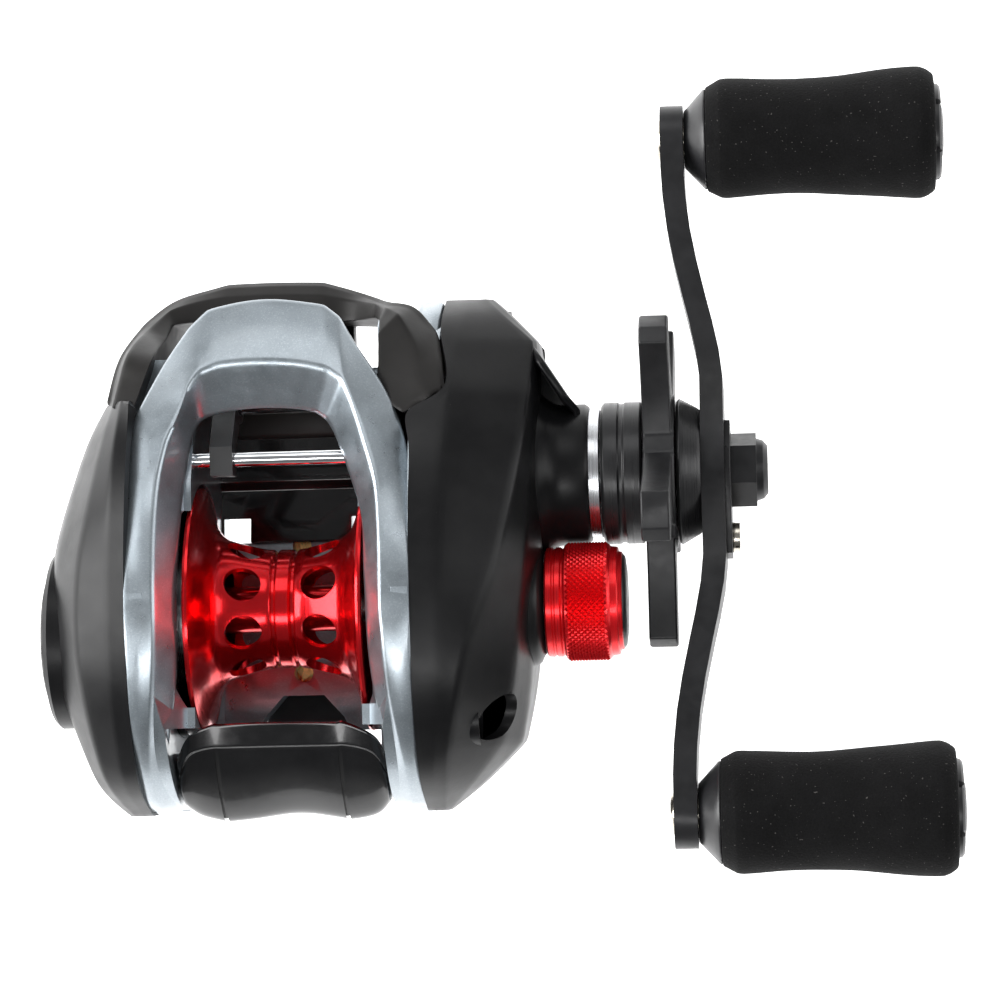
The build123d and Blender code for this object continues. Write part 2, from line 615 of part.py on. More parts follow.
def handle_arm():
    inner = [(x, DRIVE_Y + s) for s, x in reversed(ARM_CURVE)]
    inner += [(x, DRIVE_Y - s) for s, x in ARM_CURVE[1:]]
    outer = [(x + ARM_THICK, y) for x, y in reversed(inner)]
    band = prism_z(inner + outer, 0, 40)
    half = [(0.0, 7.2), (5.0, 7.0), (12.0, 5.0), (22.0, 4.3), (34.0, 4.2), (ARM_REACH, ARM_END_R)]
    upper = [(DRIVE_Y + s, DRIVE_Z + w) for s, w in half]
    lower = [(DRIVE_Y + s, DRIVE_Z - w) for s, w in reversed(half)]
    blade = prism_x(upper + lower, 40, 70)
    blade += prism_x([(2 * DRIVE_Y - y, z) for y, z in upper + lower], 40, 70)
    for side in (1, -1):
        blade += rod(ARM_END_R, 40, 70, DRIVE_Y + side * ARM_REACH, DRIVE_Z)
    body = band & blade
    body -= extrude(Plane.YZ.offset(50) * Pos(DRIVE_Y, DRIVE_Z) * (Circle(2.6) & Rectangle(8, 4.4)), 12)
    for side in (1, -1):
        body -= rod(SPINDLE_R, 45, 60, DRIVE_Y + side * ARM_REACH, DRIVE_Z)
    return body - rod(0.9, 56.0, 60.0, RETAINER_Y, DRIVE_Z)


def handle_nut():
    seat = ARM_HUB_X + ARM_THICK
    hexagon = extrude(Plane.YZ.offset(seat) * Pos(DRIVE_Y, DRIVE_Z) * RegularPolygon(NUT_R, 6), 4.2)
    profile = [(seat + 4.2, 0), (seat + 4.2, 4.2), (63.9, 3.9), (64.5, 3.2), (64.5, 0)]
    cone = turned(profile, DRIVE_Y, DRIVE_Z)
    return hexagon + cone - rod(2.6, 50, 63.0, DRIVE_Y, DRIVE_Z)


def nut_retainer():
    seat = ARM_HUB_X + ARM_THICK
    outline = [
        (DRIVE_Y + 6.2, DRIVE_Z - 3.6), (DRIVE_Y + 6.2, DRIVE_Z + 3.6), (DRIVE_Y + 2.0, DRIVE_Z + 6.4),
        (DRIVE_Y - 4.0, DRIVE_Z + 6.0), (DRIVE_Y - 11.6, DRIVE_Z + 2.6), (DRIVE_Y - 11.6, DRIVE_Z - 2.6),
        (DRIVE_Y - 4.0, DRIVE_Z - 6.0), (DRIVE_Y + 2.0, DRIVE_Z - 6.4),
    ]
    body = prism_x(outline, seat, seat + 0.8)
    hexagon = extrude(Plane.YZ.offset(seat) * Pos(DRIVE_Y, DRIVE_Z) * RegularPolygon(NUT_R + 0.02, 6), 3)
    return body - hexagon - rod(0.9, 58, 61, RETAINER_Y, DRIVE_Z)


def retainer_screw():
    seat = ARM_HUB_X + ARM_THICK + 0.8
    return screw_x(seat + 1.0, seat, 57.0, 2.0, 0.9, RETAINER_Y, DRIVE_Z)


def knob_spindle(side):
    y = DRIVE_Y + side * ARM_REACH
    return turned([
        (50.6, 0), (50.6, 2.4), (51.1, 2.9), (51.1, SPINDLE_R), (85.2, SPINDLE_R), (85.2, 3.0),
        (86.0, 3.0), (86.0, 0),
    ], y, DRIVE_Z)


def knob_core(side):
    y = DRIVE_Y + side * ARM_REACH
    return turned([
        (KNOB_X + 0.1, SPINDLE_R + RUN), (KNOB_X + 0.1, 3.9), (KNOB_X + 0.6, 4.4), (57.0, 6.8),
        (57.3, 6.8), (57.3, 4.6), (86.4, 4.6), (86.4, 3.4), (85.0, 3.4), (85.0, SPINDLE_R + RUN),
    ], y, DRIVE_Z)


GRIP_PROFILE = [
    (57.3, 7.1), (59.2, 8.2), (63.0, 8.15), (70.0, 7.9), (76.0, 8.2), (81.5, 8.75), (85.0, 9.0),
    (86.6, 8.9), (88.1, 7.8),
]


def knob_grip(side):
    y = DRIVE_Y + side * ARM_REACH
    profile = [(57.3, 4.6)] + GRIP_PROFILE + [(88.1, 6.6), (86.4, 6.6), (86.4, 4.6)]
    return turned(profile, y, DRIVE_Z)


def knob_cap(side):
    y = DRIVE_Y + side * ARM_REACH
    body = turned([(86.4, 0), (86.4, 6.6), (88.7, 6.6), (KNOB_END, 6.1), (KNOB_END, 0)], y, DRIVE_Z)
    for angle in (0, 60, 120):
        body -= Pos(KNOB_END, y, DRIVE_Z) * Rot(angle, 0, 0) * Box(1.0, 14.0, 1.0)
    return body + rod(3.6, 87.0, 89.0, y, DRIVE_Z)


# ---------------------------------------------------------------- level wind


def worm_tube():
    """The tube round the worm, with a slot below for the guide's pawl."""
    body = tube(TUBE_R, WORM_R + RUN, -16.5, WEB_OUT, WORM_Y, WORM_Z)
    return body - Pos(0, WORM_Y, WORM_Z - 2.6) * Box(19.0, 2.2, 3.0)


def worm_shaft():
    """The worm: a shaft with crossing right- and left-hand grooves drawn as rings."""
    body = turned([
        (-16.3, 0), (-16.3, WORM_R), (16.4, WORM_R), (16.4, 1.5), (22.0, 1.5), (22.0, 0),
    ], WORM_Y, WORM_Z)
    for i in range(9):
        x = -9.6 + 2.4 * i
        body -= tube(WORM_R + 1, 1.35, x - 0.45, x + 0.45, WORM_Y, WORM_Z)
    return body


def line_guide():
    """The carriage on the worm tube, with the line's eye below and an arm to the pillar."""
    body = rod(4.2, GUIDE_X - 1.5, GUIDE_X + 1.5, WORM_Y, WORM_Z)
    arm = [
        (PILLAR_Y - 2.2, PILLAR_Z + 1.6), (PILLAR_Y + 1.6, PILLAR_Z + 2.0), (WORM_Y - 2.0, WORM_Z + 3.6),
        (WORM_Y - 3.6, WORM_Z + 0.6), (PILLAR_Y + 1.2, PILLAR_Z - 2.2), (PILLAR_Y - 2.2, PILLAR_Z - 2.0),
    ]
    body += prism_x(arm, GUIDE_X - 1.5, GUIDE_X + 1.5)
    eye = [
        (WORM_Y + 0.6, WORM_Z), (WORM_Y + 4.1, WORM_Z), (WORM_Y + 4.6, WORM_Z - 10.6),
        (WORM_Y + 1.0, WORM_Z - 10.6),
    ]
    body += prism_x(eye, GUIDE_X - 1.5, GUIDE_X + 1.5)
    y, z = EYE
    body += Pos(GUIDE_X, y, z) * Rot(90, 0, 0) * Cylinder(3.0, 2.4)
    body -= Pos(GUIDE_X, y, z) * Rot(90, 0, 0) * Cylinder(2.2, 6.0)
    body -= Pos(GUIDE_X, WORM_Y, WORM_Z - 3.3) * Box(0.8, 1.6, 2.2)
    body -= rod(TUBE_R + RUN, GUIDE_X - 2, GUIDE_X + 2, WORM_Y, WORM_Z)
    return body - rod(PILLAR_R + RUN, GUIDE_X - 2, GUIDE_X + 2, PILLAR_Y, PILLAR_Z)


def guide_eye():
    y, z = EYE
    ring = Cylinder(2.2, 2.8) - Cylinder(1.5, 4.0)
    return Pos(GUIDE_X, y, z) * Rot(90, 0, 0) * ring


def guide_pawl():
    return Pos(GUIDE_X, WORM_Y, WORM_Z - 3.3) * Box(0.8, 1.6, 2.2)


# ---------------------------------------------------------------- tension knob, foot


def tension_knob():
    body = turned([
        (34.8, 0), (34.8, 7.3), (37.2, 7.3), (37.4, KNURL_R), (43.2, KNURL_R), (43.6, 7.5),
        (44.4, 7.4), (45.0, 6.6), (45.6, 5.2), (45.6, 0),
    ])
    body -= rod(5.4 + RUN, 34.0, 38.4)
    return body + rod(2.4, 34.4, 38.5)


def reel_foot():
    """The foot under the deck, thinned at both ends for the rod's hoods."""
    side = [
        (-26.0, 0.0), (26.0, 0.0), (26.0, 1.0), (14.0, 2.6), (12.0, 3.2), (-12.0, 3.2),
        (-14.0, 2.6), (-26.0, 1.0),
    ]
    top = [
        (-3.6, -26.0), (3.6, -26.0), (5.6, -23.0), (6.2, -10.0), (6.2, 10.0), (5.6, 23.0),
        (3.6, 26.0), (-3.6, 26.0), (-5.6, 23.0), (-6.2, 10.0), (-6.2, -10.0), (-5.6, -23.0),
    ]
    body = prism_x(side, -8, 8) & prism_z(top, -1, 5)
    for y in RIVETS:
        body -= Pos(0, y, 2) * Cylinder(1.3, 6)
        body -= Pos(0, y, 0.5) * Cylinder(2.2, 1.6)
    return body


def foot_rivet(index):
    y = RIVETS[index]
    return Pos(0, y, 0.8) * Cylinder(2.2, 1.0) + Pos(0, y, 3.0) * Cylinder(1.3, 4.2)


# ---------------------------------------------------------------- all the pieces


def pieces():
    return {
        "frame": frame(),
        "hood": hood(),
        "nose_cover": nose_cover(),
        "palm_cover": palm_cover(),
        "gear_cover": gear_cover(),
        "set_plate": set_plate(),
        "magnet_ring": magnet_ring(),
        "spool_bearing_left": bearing(4.0, 1.5 + RUN, -18.0, -16.0),
        "spool_bearing_right": bearing(5.0, 1.75 + RUN, RECESS + 0.1, WEB_OUT),
        "shaft_end_bearing": bearing(3.6, PINION_SHAFT_R + RUN, 30.0, 32.3),
        "drive_bearing": bearing(4.5, 2.5 + RUN, 13.4, WEB_OUT, DRIVE_Y, DRIVE_Z),
        "one_way_bearing": bearing(7.0, 4.5 + RUN, 30.4, 39.0, DRIVE_Y, DRIVE_Z),
        "boss_washer": tube(8.6, 4.5 + RUN, BOSS_END, 42.3, DRIVE_Y, DRIVE_Z),
        "guide_pillar": rod(PILLAR_R, -14.0, 14.0, PILLAR_Y, PILLAR_Z),
        "worm_tube": worm_tube(),
        "reel_foot": reel_foot(),
        "foot_rivet_rear": foot_rivet(0),
        "foot_rivet_front": foot_rivet(1),
        "cover_screw_rear": screw_x(25.2, 24.0, 16.6, 2.2, 1.2, *COVER_SCREWS[0]),
        "cover_screw_front": screw_x(25.2, 24.0, 16.6, 2.2, 1.2, *COVER_SCREWS[1]),
        "yoke_spring_upper": yoke_spring(0),
        "yoke_spring_lower": yoke_spring(1),
        "clutch_spring": clutch_spring(),
        "thumb_bar": thumb_bar(),
        "clutch_yoke": clutch_yoke(),
        "pinion": pinion(),
        "spool": spool(),
        "spool_shaft": spool_shaft(),
        "cross_pin": cross_pin(),
        "brake_rotor": brake_rotor(),
        "drive_shaft": drive_shaft(),
        "level_drive_gear": level_drive_gear(),
        "drag_washer_inner": tube(13.4, 3.0 + RUN, 22.6, 23.4, DRIVE_Y, DRIVE_Z),
        "main_gear": main_gear(),
        "drag_washer_outer": tube(12.2, 3.0 + RUN, 24.6, 25.4, DRIVE_Y, DRIVE_Z),
        "pressure_plate": pressure_plate(),
        "drag_sleeve": drag_sleeve(),
        "drag_collar": drag_collar(),
        "star_wheel": star_wheel(),
        "drag_nut": drag_nut(),
        "star_spacer": star_spacer(),
        "handle_arm": on_crank(handle_arm()),
        "handle_nut": on_crank(handle_nut()),
        "nut_retainer": on_crank(nut_retainer()),
        "retainer_screw": on_crank(retainer_screw()),
        "knob_spindle_front": on_crank(knob_spindle(1)),
        "knob_spindle_rear": on_crank(knob_spindle(-1)),
        "knob_core_front": on_crank(knob_core(1)),
        "knob_core_rear": on_crank(knob_core(-1)),
        "knob_grip_front": on_crank(knob_grip(1)),
        "knob_grip_rear": on_crank(knob_grip(-1)),
        "knob_cap_front": on_crank(knob_cap(1)),
        "knob_cap_rear": on_crank(knob_cap(-1)),
        "worm_shaft": worm_shaft(),
        "worm_gear": worm_gear(),
        "line_guide": line_guide(),
        "guide_eye": guide_eye(),
        "guide_pawl": guide_pawl(),
        "tension_knob": tension_knob(),
        "brake_dial": brake_dial(),
    }


os.makedirs("parts", exist_ok=True)
for name, shape in pieces().items():
    export_step(shape, f"parts/{name}.step")
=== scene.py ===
import math

import bmesh
import bpy
import numpy as np
from mathutils import Matrix, Vector


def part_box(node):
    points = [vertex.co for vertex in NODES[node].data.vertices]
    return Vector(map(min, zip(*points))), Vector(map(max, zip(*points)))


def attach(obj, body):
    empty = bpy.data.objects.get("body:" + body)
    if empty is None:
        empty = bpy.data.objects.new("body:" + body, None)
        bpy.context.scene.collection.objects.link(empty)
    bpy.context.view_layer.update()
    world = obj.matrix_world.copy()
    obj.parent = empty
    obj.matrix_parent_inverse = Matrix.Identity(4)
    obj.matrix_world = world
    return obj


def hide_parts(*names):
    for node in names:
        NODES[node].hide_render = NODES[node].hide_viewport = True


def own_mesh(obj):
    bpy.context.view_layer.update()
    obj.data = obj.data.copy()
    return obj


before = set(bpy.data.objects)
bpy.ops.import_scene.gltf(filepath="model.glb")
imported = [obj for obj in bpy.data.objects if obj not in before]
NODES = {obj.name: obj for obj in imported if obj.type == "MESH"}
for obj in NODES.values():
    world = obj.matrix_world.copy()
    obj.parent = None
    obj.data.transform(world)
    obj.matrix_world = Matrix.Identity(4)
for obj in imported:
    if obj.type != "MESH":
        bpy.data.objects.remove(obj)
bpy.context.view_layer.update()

MM = 0.001

# ------------------------------------------------------------------ places read from the frame


def centre(node):
    lo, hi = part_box(node)
    return (lo + hi) / 2


def axis_of(node):
    """Where a turned node's axis crosses the YZ plane, in mm."""
    middle = centre(node)
    return middle.y / MM, middle.z / MM


SPOOL_Y, SPOOL_Z = 0.0, axis_of("spool")[1]
DRIVE_Y, DRIVE_Z = axis_of("drag_sleeve")

# ------------------------------------------------------------------ camera


VIEW_TILTS = (4.5, 3.0, 1.3)  # degrees: towards +X, towards -Y, and the picture's roll
VIEW_TARGET = (28.8, 13.8, 23.0)
VIEW_DISTANCE = 0.5
LENS, SENSOR = 135.0, 36.0


def make_camera():
    tilt_x, tilt_y, roll = (math.radians(angle) for angle in VIEW_TILTS)
    target = Vector(VIEW_TARGET) * MM
    n = Vector((math.sin(tilt_x) * math.cos(tilt_y), -math.sin(tilt_y), math.cos(tilt_x) * math.cos(tilt_y)))
    n.normalize()
    r = Vector((math.cos(tilt_x), 0, -math.sin(tilt_x)))
    r = (r - n * r.dot(n)).normalized()
    u = n.cross(r)
    right = math.cos(roll) * r - math.sin(roll) * u
    up = math.sin(roll) * r + math.cos(roll) * u
    cam = bpy.data.objects.new("camera", bpy.data.cameras.new("camera"))
    bpy.context.scene.collection.objects.link(cam)
    cam.data.sensor_width = SENSOR
    cam.data.lens = LENS
    cam.data.clip_start, cam.data.clip_end = 0.02, 20.0
    place = Matrix((right, up, n)).transposed().to_4x4()
    place.translation = target + n * VIEW_DISTANCE
    cam.matrix_world = place
    bpy.context.scene.camera = cam


# ------------------------------------------------------------------ materials


class Nodes:
    """A material's node tree with short calls for the nodes that it uses."""

    def __init__(self, name):
        self.mat = bpy.data.materials.new(name)
        self.mat.use_nodes = True
        self.tree = self.mat.node_tree
        self.bsdf = self.tree.nodes["Principled BSDF"]
        coord = self.tree.nodes.new("ShaderNodeTexCoord")
        self.place = coord.outputs["Object"]

    def new(self, kind, **values):
        node = self.tree.nodes.new(kind)
        for key, value in values.items():
            setattr(node, key, value)
        return node

    def link(self, a, b):
        self.tree.links.new(a, b)

    def scaled(self, factors):
        node = self.new("ShaderNodeMapping")
        node.inputs["Scale"].default_value = factors
        self.link(self.place, node.inputs["Vector"])
        return node.outputs["Vector"]

    def noise(self, scale, detail=3.0, rough=0.55, stretch=(1, 1, 1)):
        node = self.new("ShaderNodeTexNoise")
        node.inputs["Scale"].default_value = scale
        node.inputs["Detail"].default_value = detail
        node.inputs["Roughness"].default_value = rough
        self.link(self.scaled(stretch), node.inputs["Vector"])
        return node.outputs["Fac"]

    def cells(self, scale):
        node = self.new("ShaderNodeTexVoronoi", feature="F1")
        node.inputs["Scale"].default_value = scale
        self.link(self.place, node.inputs["Vector"])
        return node

    def span(self, value, a, b, low, high):
        node = self.new("ShaderNodeMapRange", clamp=True)
        for key, number in (("From Min", a), ("From Max", b), ("To Min", low), ("To Max", high)):
            node.inputs[key].default_value = number
        self.link(value, node.inputs["Value"])
        return node.outputs["Result"]

    def spread(self, value, low=0.0, high=1.0):
        """The middle of a noise, where most of it lies, spread over a range."""
        return self.span(value, 0.3, 0.7, low, high)

    def mix(self, fac, a, b):
        node = self.new("ShaderNodeMix", data_type="RGBA")
        self.link(fac, node.inputs["Factor"])
        sockets = [s for s in node.inputs if s.type == "RGBA"]
        for socket, value in zip(sockets, (a, b)):
            if isinstance(value, tuple):
                socket.default_value = (*value, 1.0)
            else:
                self.link(value, socket)
        return [s for s in node.outputs if s.type == "RGBA"][0]

    def math(self, kind, a, b):
        node = self.new("ShaderNodeMath", operation=kind)
        for socket, value in zip(node.inputs, (a, b)):
            if isinstance(value, (int, float)):
                socket.default_value = value
            else:
                self.link(value, socket)
        return node.outputs["Value"]

    def set(self, **values):
        for key, value in values.items():
            socket = self.bsdf.inputs[key.replace("_", " ")]
            if isinstance(value, tuple) and len(value) == 3:
                value = (*value, 1.0)
            socket.default_value = value

    def colour(self, socket):
        self.link(socket, self.bsdf.inputs["Base Color"])

    def rough(self, socket):
        self.link(socket, self.bsdf.inputs["Roughness"])

    def bump(self, *layers):
        """Layers of (height, distance in mm), one over the other."""
        last = None
        for height, distance in layers:
            node = self.new("ShaderNodeBump")
            node.inputs["Strength"].default_value = 1.0
            node.inputs["Distance"].default_value = distance * MM
            self.link(height, node.inputs["Height"])
            if last:
                self.link(last, node.inputs["Normal"])
            last = node.outputs["Normal"]
        self.link(last, self.bsdf.inputs["Normal"])


def rings_about(n, y, z):
    """Distance from the X line through (y, z), in metres."""
    split = n.new("ShaderNodeSeparateXYZ")
    n.link(n.place, split.inputs["Vector"])
    dy = n.math("SUBTRACT", split.outputs["Y"], y * MM)
    dz = n.math("SUBTRACT", split.outputs["Z"], z * MM)
    square = n.math("ADD", n.math("MULTIPLY", dy, dy), n.math("MULTIPLY", dz, dz))
    return n.math("SQRT", square, 0.0)


def silver_paint():
    n = Nodes("silver_flake_paint")
    flake = n.cells(7200.0)
    shade = n.new("ShaderNodeSeparateColor")
    n.link(flake.outputs["Color"], shade.inputs["Color"])
    # Painted glints and painted shade: random flakes are painted brighter as glints and others darker as
    # shade.
    glint = n.span(shade.outputs["Red"], 0.0, 1.0, 0.0, 1.0)
    cloud = n.noise(160.0, 3.0)
    base = n.mix(n.spread(cloud), (0.285, 0.325, 0.355), (0.325, 0.365, 0.395))
    sparkled = n.mix(n.span(glint, 0.80, 1.0, 0.0, 0.30), base, (0.50, 0.56, 0.62))
    dark = n.mix(n.span(glint, 0.0, 0.25, 0.2, 0.0), sparkled, (0.17, 0.195, 0.225))
    n.colour(dark)
    n.rough(n.spread(n.noise(420.0, 4.0), 0.27, 0.37))
    n.bump((shade.outputs["Green"], 0.0022), (n.noise(1500.0, 2.0), 0.002))
    n.set(Metallic=0.86, Coat_Weight=0.55, Coat_Roughness=0.09, Coat_IOR=1.5)
    return n.mat


JET, SOOT = (0.004, 0.004, 0.0045), (0.008, 0.008, 0.0085)


def black_cover(name="black_cover_satin", base=JET, edge=SOOT, low=0.30, high=0.38, grain=2600.0):
    n = Nodes(name)
    cloud = n.noise(120.0, 4.0)
    tone = n.mix(n.span(cloud, 0.32, 0.68, 0.0, 1.0), base, edge)
    dust = n.noise(5200.0, 1.0)
    n.colour(n.mix(n.span(dust, 0.79, 0.83, 0.0, 0.25), tone, (0.10, 0.095, 0.09)))
    n.rough(n.spread(n.noise(300.0, 4.0), low, high))
    n.bump((n.noise(grain, 2.0), 0.006), (n.noise(260.0, 2.0), 0.012))
    n.set(Specular_IOR_Level=0.20)
    return n.mat


def gloss_black():
    n = Nodes("gloss_black_plastic")
    tone = n.mix(n.spread(n.noise(180.0, 3.0)), JET, SOOT)
    n.colour(tone)
    n.rough(n.span(n.noise(650.0, 5.0), 0.3, 0.75, 0.13, 0.24))
    n.bump((n.noise(900.0, 2.0), 0.003))
    n.set(Specular_IOR_Level=0.4, Coat_Weight=0.3, Coat_Roughness=0.06)
    return n.mat


def anodised_red(name, y, z, knurled=False):
    n = Nodes(name)
    radius = rings_about(n, y, z)
    lines = n.noise(1.0, 4.0, 0.7, (9000.0, 60.0, 60.0))
    cloud = n.noise(140.0, 2.0)
    tone = n.mix(n.spread(cloud), (0.74, 0.005, 0.010), (0.90, 0.012, 0.018))
    depth = n.mix(n.span(lines, 0.35, 0.65, 0.0, 0.35), tone, (0.42, 0.0, 0.004))
    n.colour(depth)
    n.rough(n.span(lines, 0.35, 0.65, 0.24 if knurled else 0.13, 0.36 if knurled else 0.26))
    n.bump((lines, 0.0035), (n.math("SINE", n.math("MULTIPLY", radius, 52000.0), 0.0), 0.0008))
    n.set(Metallic=0.7 if knurled else 0.88, Coat_Weight=0.2 if knurled else 0.35, Coat_Roughness=0.08)
    return n.mat


def turned_metal(name, base, y, z, low, high, metallic=1.0, line=0.003):
    """Metal turned on a lathe: fine lines along and round its axis."""
    n = Nodes(name)
    lines = n.noise(1.0, 4.0, 0.7, (7000.0, 40.0, 40.0))
    cloud = n.noise(220.0, 3.0)
    light = tuple(min(1.0, c * 1.18 + 0.004) for c in base)
    dark = tuple(c * 0.82 for c in base)
    n.colour(n.mix(n.spread(cloud), dark, light))
    n.rough(n.span(lines, 0.35, 0.65, low, high))
    radius = rings_about(n, y, z)
    n.bump((lines, line), (n.math("SINE", n.math("MULTIPLY", radius, 30000.0), 0.0), line * 0.3))
    n.set(Metallic=metallic)
    return n.mat


def plain_metal(name, base, low, high, metallic=1.0, grain=1800.0, depth=0.003, specular=0.5):
    n = Nodes(name)
    cloud = n.noise(200.0, 4.0)
    light = tuple(min(1.0, c * 1.2 + 0.003) for c in base)
    dark = tuple(c * 0.8 for c in base)
    n.colour(n.mix(n.spread(cloud), dark, light))
    n.rough(n.spread(n.noise(700.0, 4.0), low, high))
    n.bump((n.noise(grain, 3.0), depth))
    n.set(Metallic=metallic, Specular_IOR_Level=specular)
    return n.mat


def foam():
    n = Nodes("eva_foam")
    pores = n.cells(2600.0)
    fine = n.noise(4200.0, 3.0)
    cloud = n.noise(240.0, 3.0)
    tone = n.mix(n.spread(cloud), (0.0022, 0.0022, 0.0023), (0.0045, 0.0045, 0.0047))
    # Painted shade: the middles of the pores, where the bump makes pits, are painted darker.
    pore_shaded = n.mix(n.span(pores.outputs["Distance"], 0.0, 0.35, 0.7, 0.0), tone, (0.0015, 0.0015, 0.0015))
    dust = n.noise(3600.0, 0.0)
    n.colour(n.mix(n.span(dust, 0.80, 0.83, 0.0, 0.6), pore_shaded, (0.10, 0.095, 0.09)))
    n.rough(n.spread(fine, 0.82, 0.98))
    n.bump((pores.outputs["Distance"], 0.035), (fine, 0.02), (n.noise(520.0, 2.0), 0.03))
    n.set(Sheen_Weight=0.02, Sheen_Roughness=0.6, Specular_IOR_Level=0.12)
    return n.mat


def moulded(name, base, low, high, depth=0.006):
    n = Nodes(name)
    light = tuple(min(1.0, c * 1.25 + 0.003) for c in base)
    n.colour(n.mix(n.spread(n.noise(170.0, 3.0)), base, light))
    n.rough(n.spread(n.noise(600.0, 4.0), low, high))
    n.bump((n.noise(2400.0, 2.0), depth))
    return n.mat


def carbon():
    n = Nodes("carbon_weave")
    split = n.new("ShaderNodeSeparateXYZ")
    n.link(n.place, split.inputs["Vector"])
    strands = []
    for kind in ("ADD", "SUBTRACT"):
        diagonal = n.math(kind, split.outputs["Y"], split.outputs["Z"])
        strands.append(n.math("SINE", n.math("MULTIPLY", diagonal, 6000.0), 0.0))
    weave = n.math("MULTIPLY", *strands)
    n.colour(n.mix(n.span(weave, -0.2, 0.2, 0.0, 1.0), (0.012, 0.012, 0.013), (0.045, 0.045, 0.047)))
    n.rough(n.span(weave, -0.2, 0.2, 0.35, 0.55))
    n.bump((weave, 0.02))
    return n.mat


def build_materials():
    charcoal = {"base": (0.0085, 0.0078, 0.0074), "edge": (0.013, 0.012, 0.0115), "low": 0.42, "high": 0.52}
    return {
        "silver": silver_paint(),
        "cover": black_cover(),
        "nose": black_cover("charcoal_bumper", grain=3400.0, **charcoal),
        "gloss": gloss_black(),
        "spool_red": anodised_red("red_anodised_spool", SPOOL_Y, SPOOL_Z),
        "knob_red": anodised_red("red_anodised_knob", SPOOL_Y, SPOOL_Z, True),
        "chrome": turned_metal("chrome_rod", (0.80, 0.81, 0.83), 19.7, 30.6, 0.04, 0.10, line=0.0006),
        "shaft": turned_metal("ground_steel", (0.52, 0.53, 0.55), SPOOL_Y, SPOOL_Z, 0.16, 0.28),
        "drive": turned_metal("turned_steel", (0.50, 0.51, 0.53), DRIVE_Y, DRIVE_Z, 0.18, 0.32),
        "steel": plain_metal("plain_steel", (0.50, 0.51, 0.53), 0.18, 0.32),
        "washer": turned_metal("light_washer", (0.60, 0.61, 0.63), DRIVE_Y, DRIVE_Z, 0.22, 0.34),
        "collar": turned_metal(
            "dark_turned_collar", (0.012, 0.012, 0.013), DRIVE_Y, DRIVE_Z, 0.26, 0.40, 0.25, 0.006),
        "arm": plain_metal("satin_black_arm", (0.011, 0.011, 0.012), 0.30, 0.42, 0.1, 2200.0, 0.004, 0.3),
        "star": plain_metal("satin_black_star", (0.010, 0.010, 0.011), 0.34, 0.46, 0.1, 2600.0, 0.005, 0.36),
        "brass": plain_metal("machined_brass", (0.62, 0.44, 0.17), 0.18, 0.30),
        "screw": plain_metal("screw_steel", (0.58, 0.54, 0.47), 0.16, 0.28),
        "dark_steel": plain_metal("black_oxide_steel", (0.05, 0.05, 0.055), 0.25, 0.4, 0.8),
        "white_gear": moulded("white_acetal", (0.70, 0.70, 0.66), 0.35, 0.5),
        "black_moulded": moulded("black_acetal", (0.015, 0.015, 0.016), 0.30, 0.42),
        "core": moulded("knob_core_plastic", (0.009, 0.009, 0.010), 0.28, 0.40, 0.004),
        "foot": plain_metal("black_foot", (0.016, 0.016, 0.018), 0.30, 0.45, 0.4),
        "ceramic": moulded("polished_ceramic", (0.06, 0.06, 0.065), 0.08, 0.14, 0.001),
        "eva": foam(),
        "carbon": carbon(),
    }


# ------------------------------------------------------------------ mesh tools


def make_mesh(name, verts, faces):
    data = bpy.data.meshes.new(name)
    data.from_pydata([tuple(c * MM for c in v) for v in verts], [], faces)
    data.update()
    obj = bpy.data.objects.new(name, data)
    bpy.context.scene.collection.objects.link(obj)
    return obj


def grid_faces(rows, cols, wrap_rows=False, wrap_cols=False):
    faces = []
    for i in range(rows if wrap_rows else rows - 1):
        for j in range(cols if wrap_cols else cols - 1):
            a, b = i * cols + j, i * cols + (j + 1) % cols
            c, d = ((i + 1) % rows) * cols + (j + 1) % cols, ((i + 1) % rows) * cols + j
            faces.append((a, b, c, d))
    return faces


def revolved(name, profile, y, z, segments=96, closed=True, bump=None):
    """A solid turned about the X line through (y, z), from (x, radius) points: a loop, or open there."""
    verts = []
    for x, r in profile:
        for k in range(segments):
            angle = 2 * math.pi * k / segments
            extra = bump(x, angle, r) if bump else 0.0
            verts.append((x, y + (r + extra) * math.cos(angle), z + (r + extra) * math.sin(angle)))
    faces = grid_faces(len(profile), segments, closed, True)
    obj = make_mesh(name, verts, faces)
    tidy(obj)
    return obj


def skinned(name, rings):
    """A closed tube through rings of points, capped at both ends."""
    cols = len(rings[0])
    faces = grid_faces(len(rings), cols, False, True)
    faces.append(tuple(range(cols)))
    faces.append(tuple(reversed(range((len(rings) - 1) * cols, len(rings) * cols))))
    obj = make_mesh(name, [v for ring in rings for v in ring], faces)
    tidy(obj, 1e-8)
    return obj


def tidy(obj, distance=1e-6):
    """Merges points closer than the distance, in metres, and turns the faces outwards."""
    bm = bmesh.new()
    bm.from_mesh(obj.data)
    bmesh.ops.remove_doubles(bm, verts=bm.verts, dist=distance)
    bmesh.ops.dissolve_degenerate(bm, edges=bm.edges, dist=distance)
    bmesh.ops.recalc_face_normals(bm, faces=bm.faces)
    bm.to_mesh(obj.data)
    bm.free()


def apply_all(obj):
    """Puts the modifiers' result in the place of the object's mesh."""
    bpy.context.view_layer.update()
    graph = bpy.context.evaluated_depsgraph_get()
    mesh = bpy.data.meshes.new_from_object(obj.evaluated_get(graph))
    obj.modifiers.clear()
    old = obj.data
    obj.data = mesh
    mesh.name = old.name
    bpy.data.meshes.remove(old)


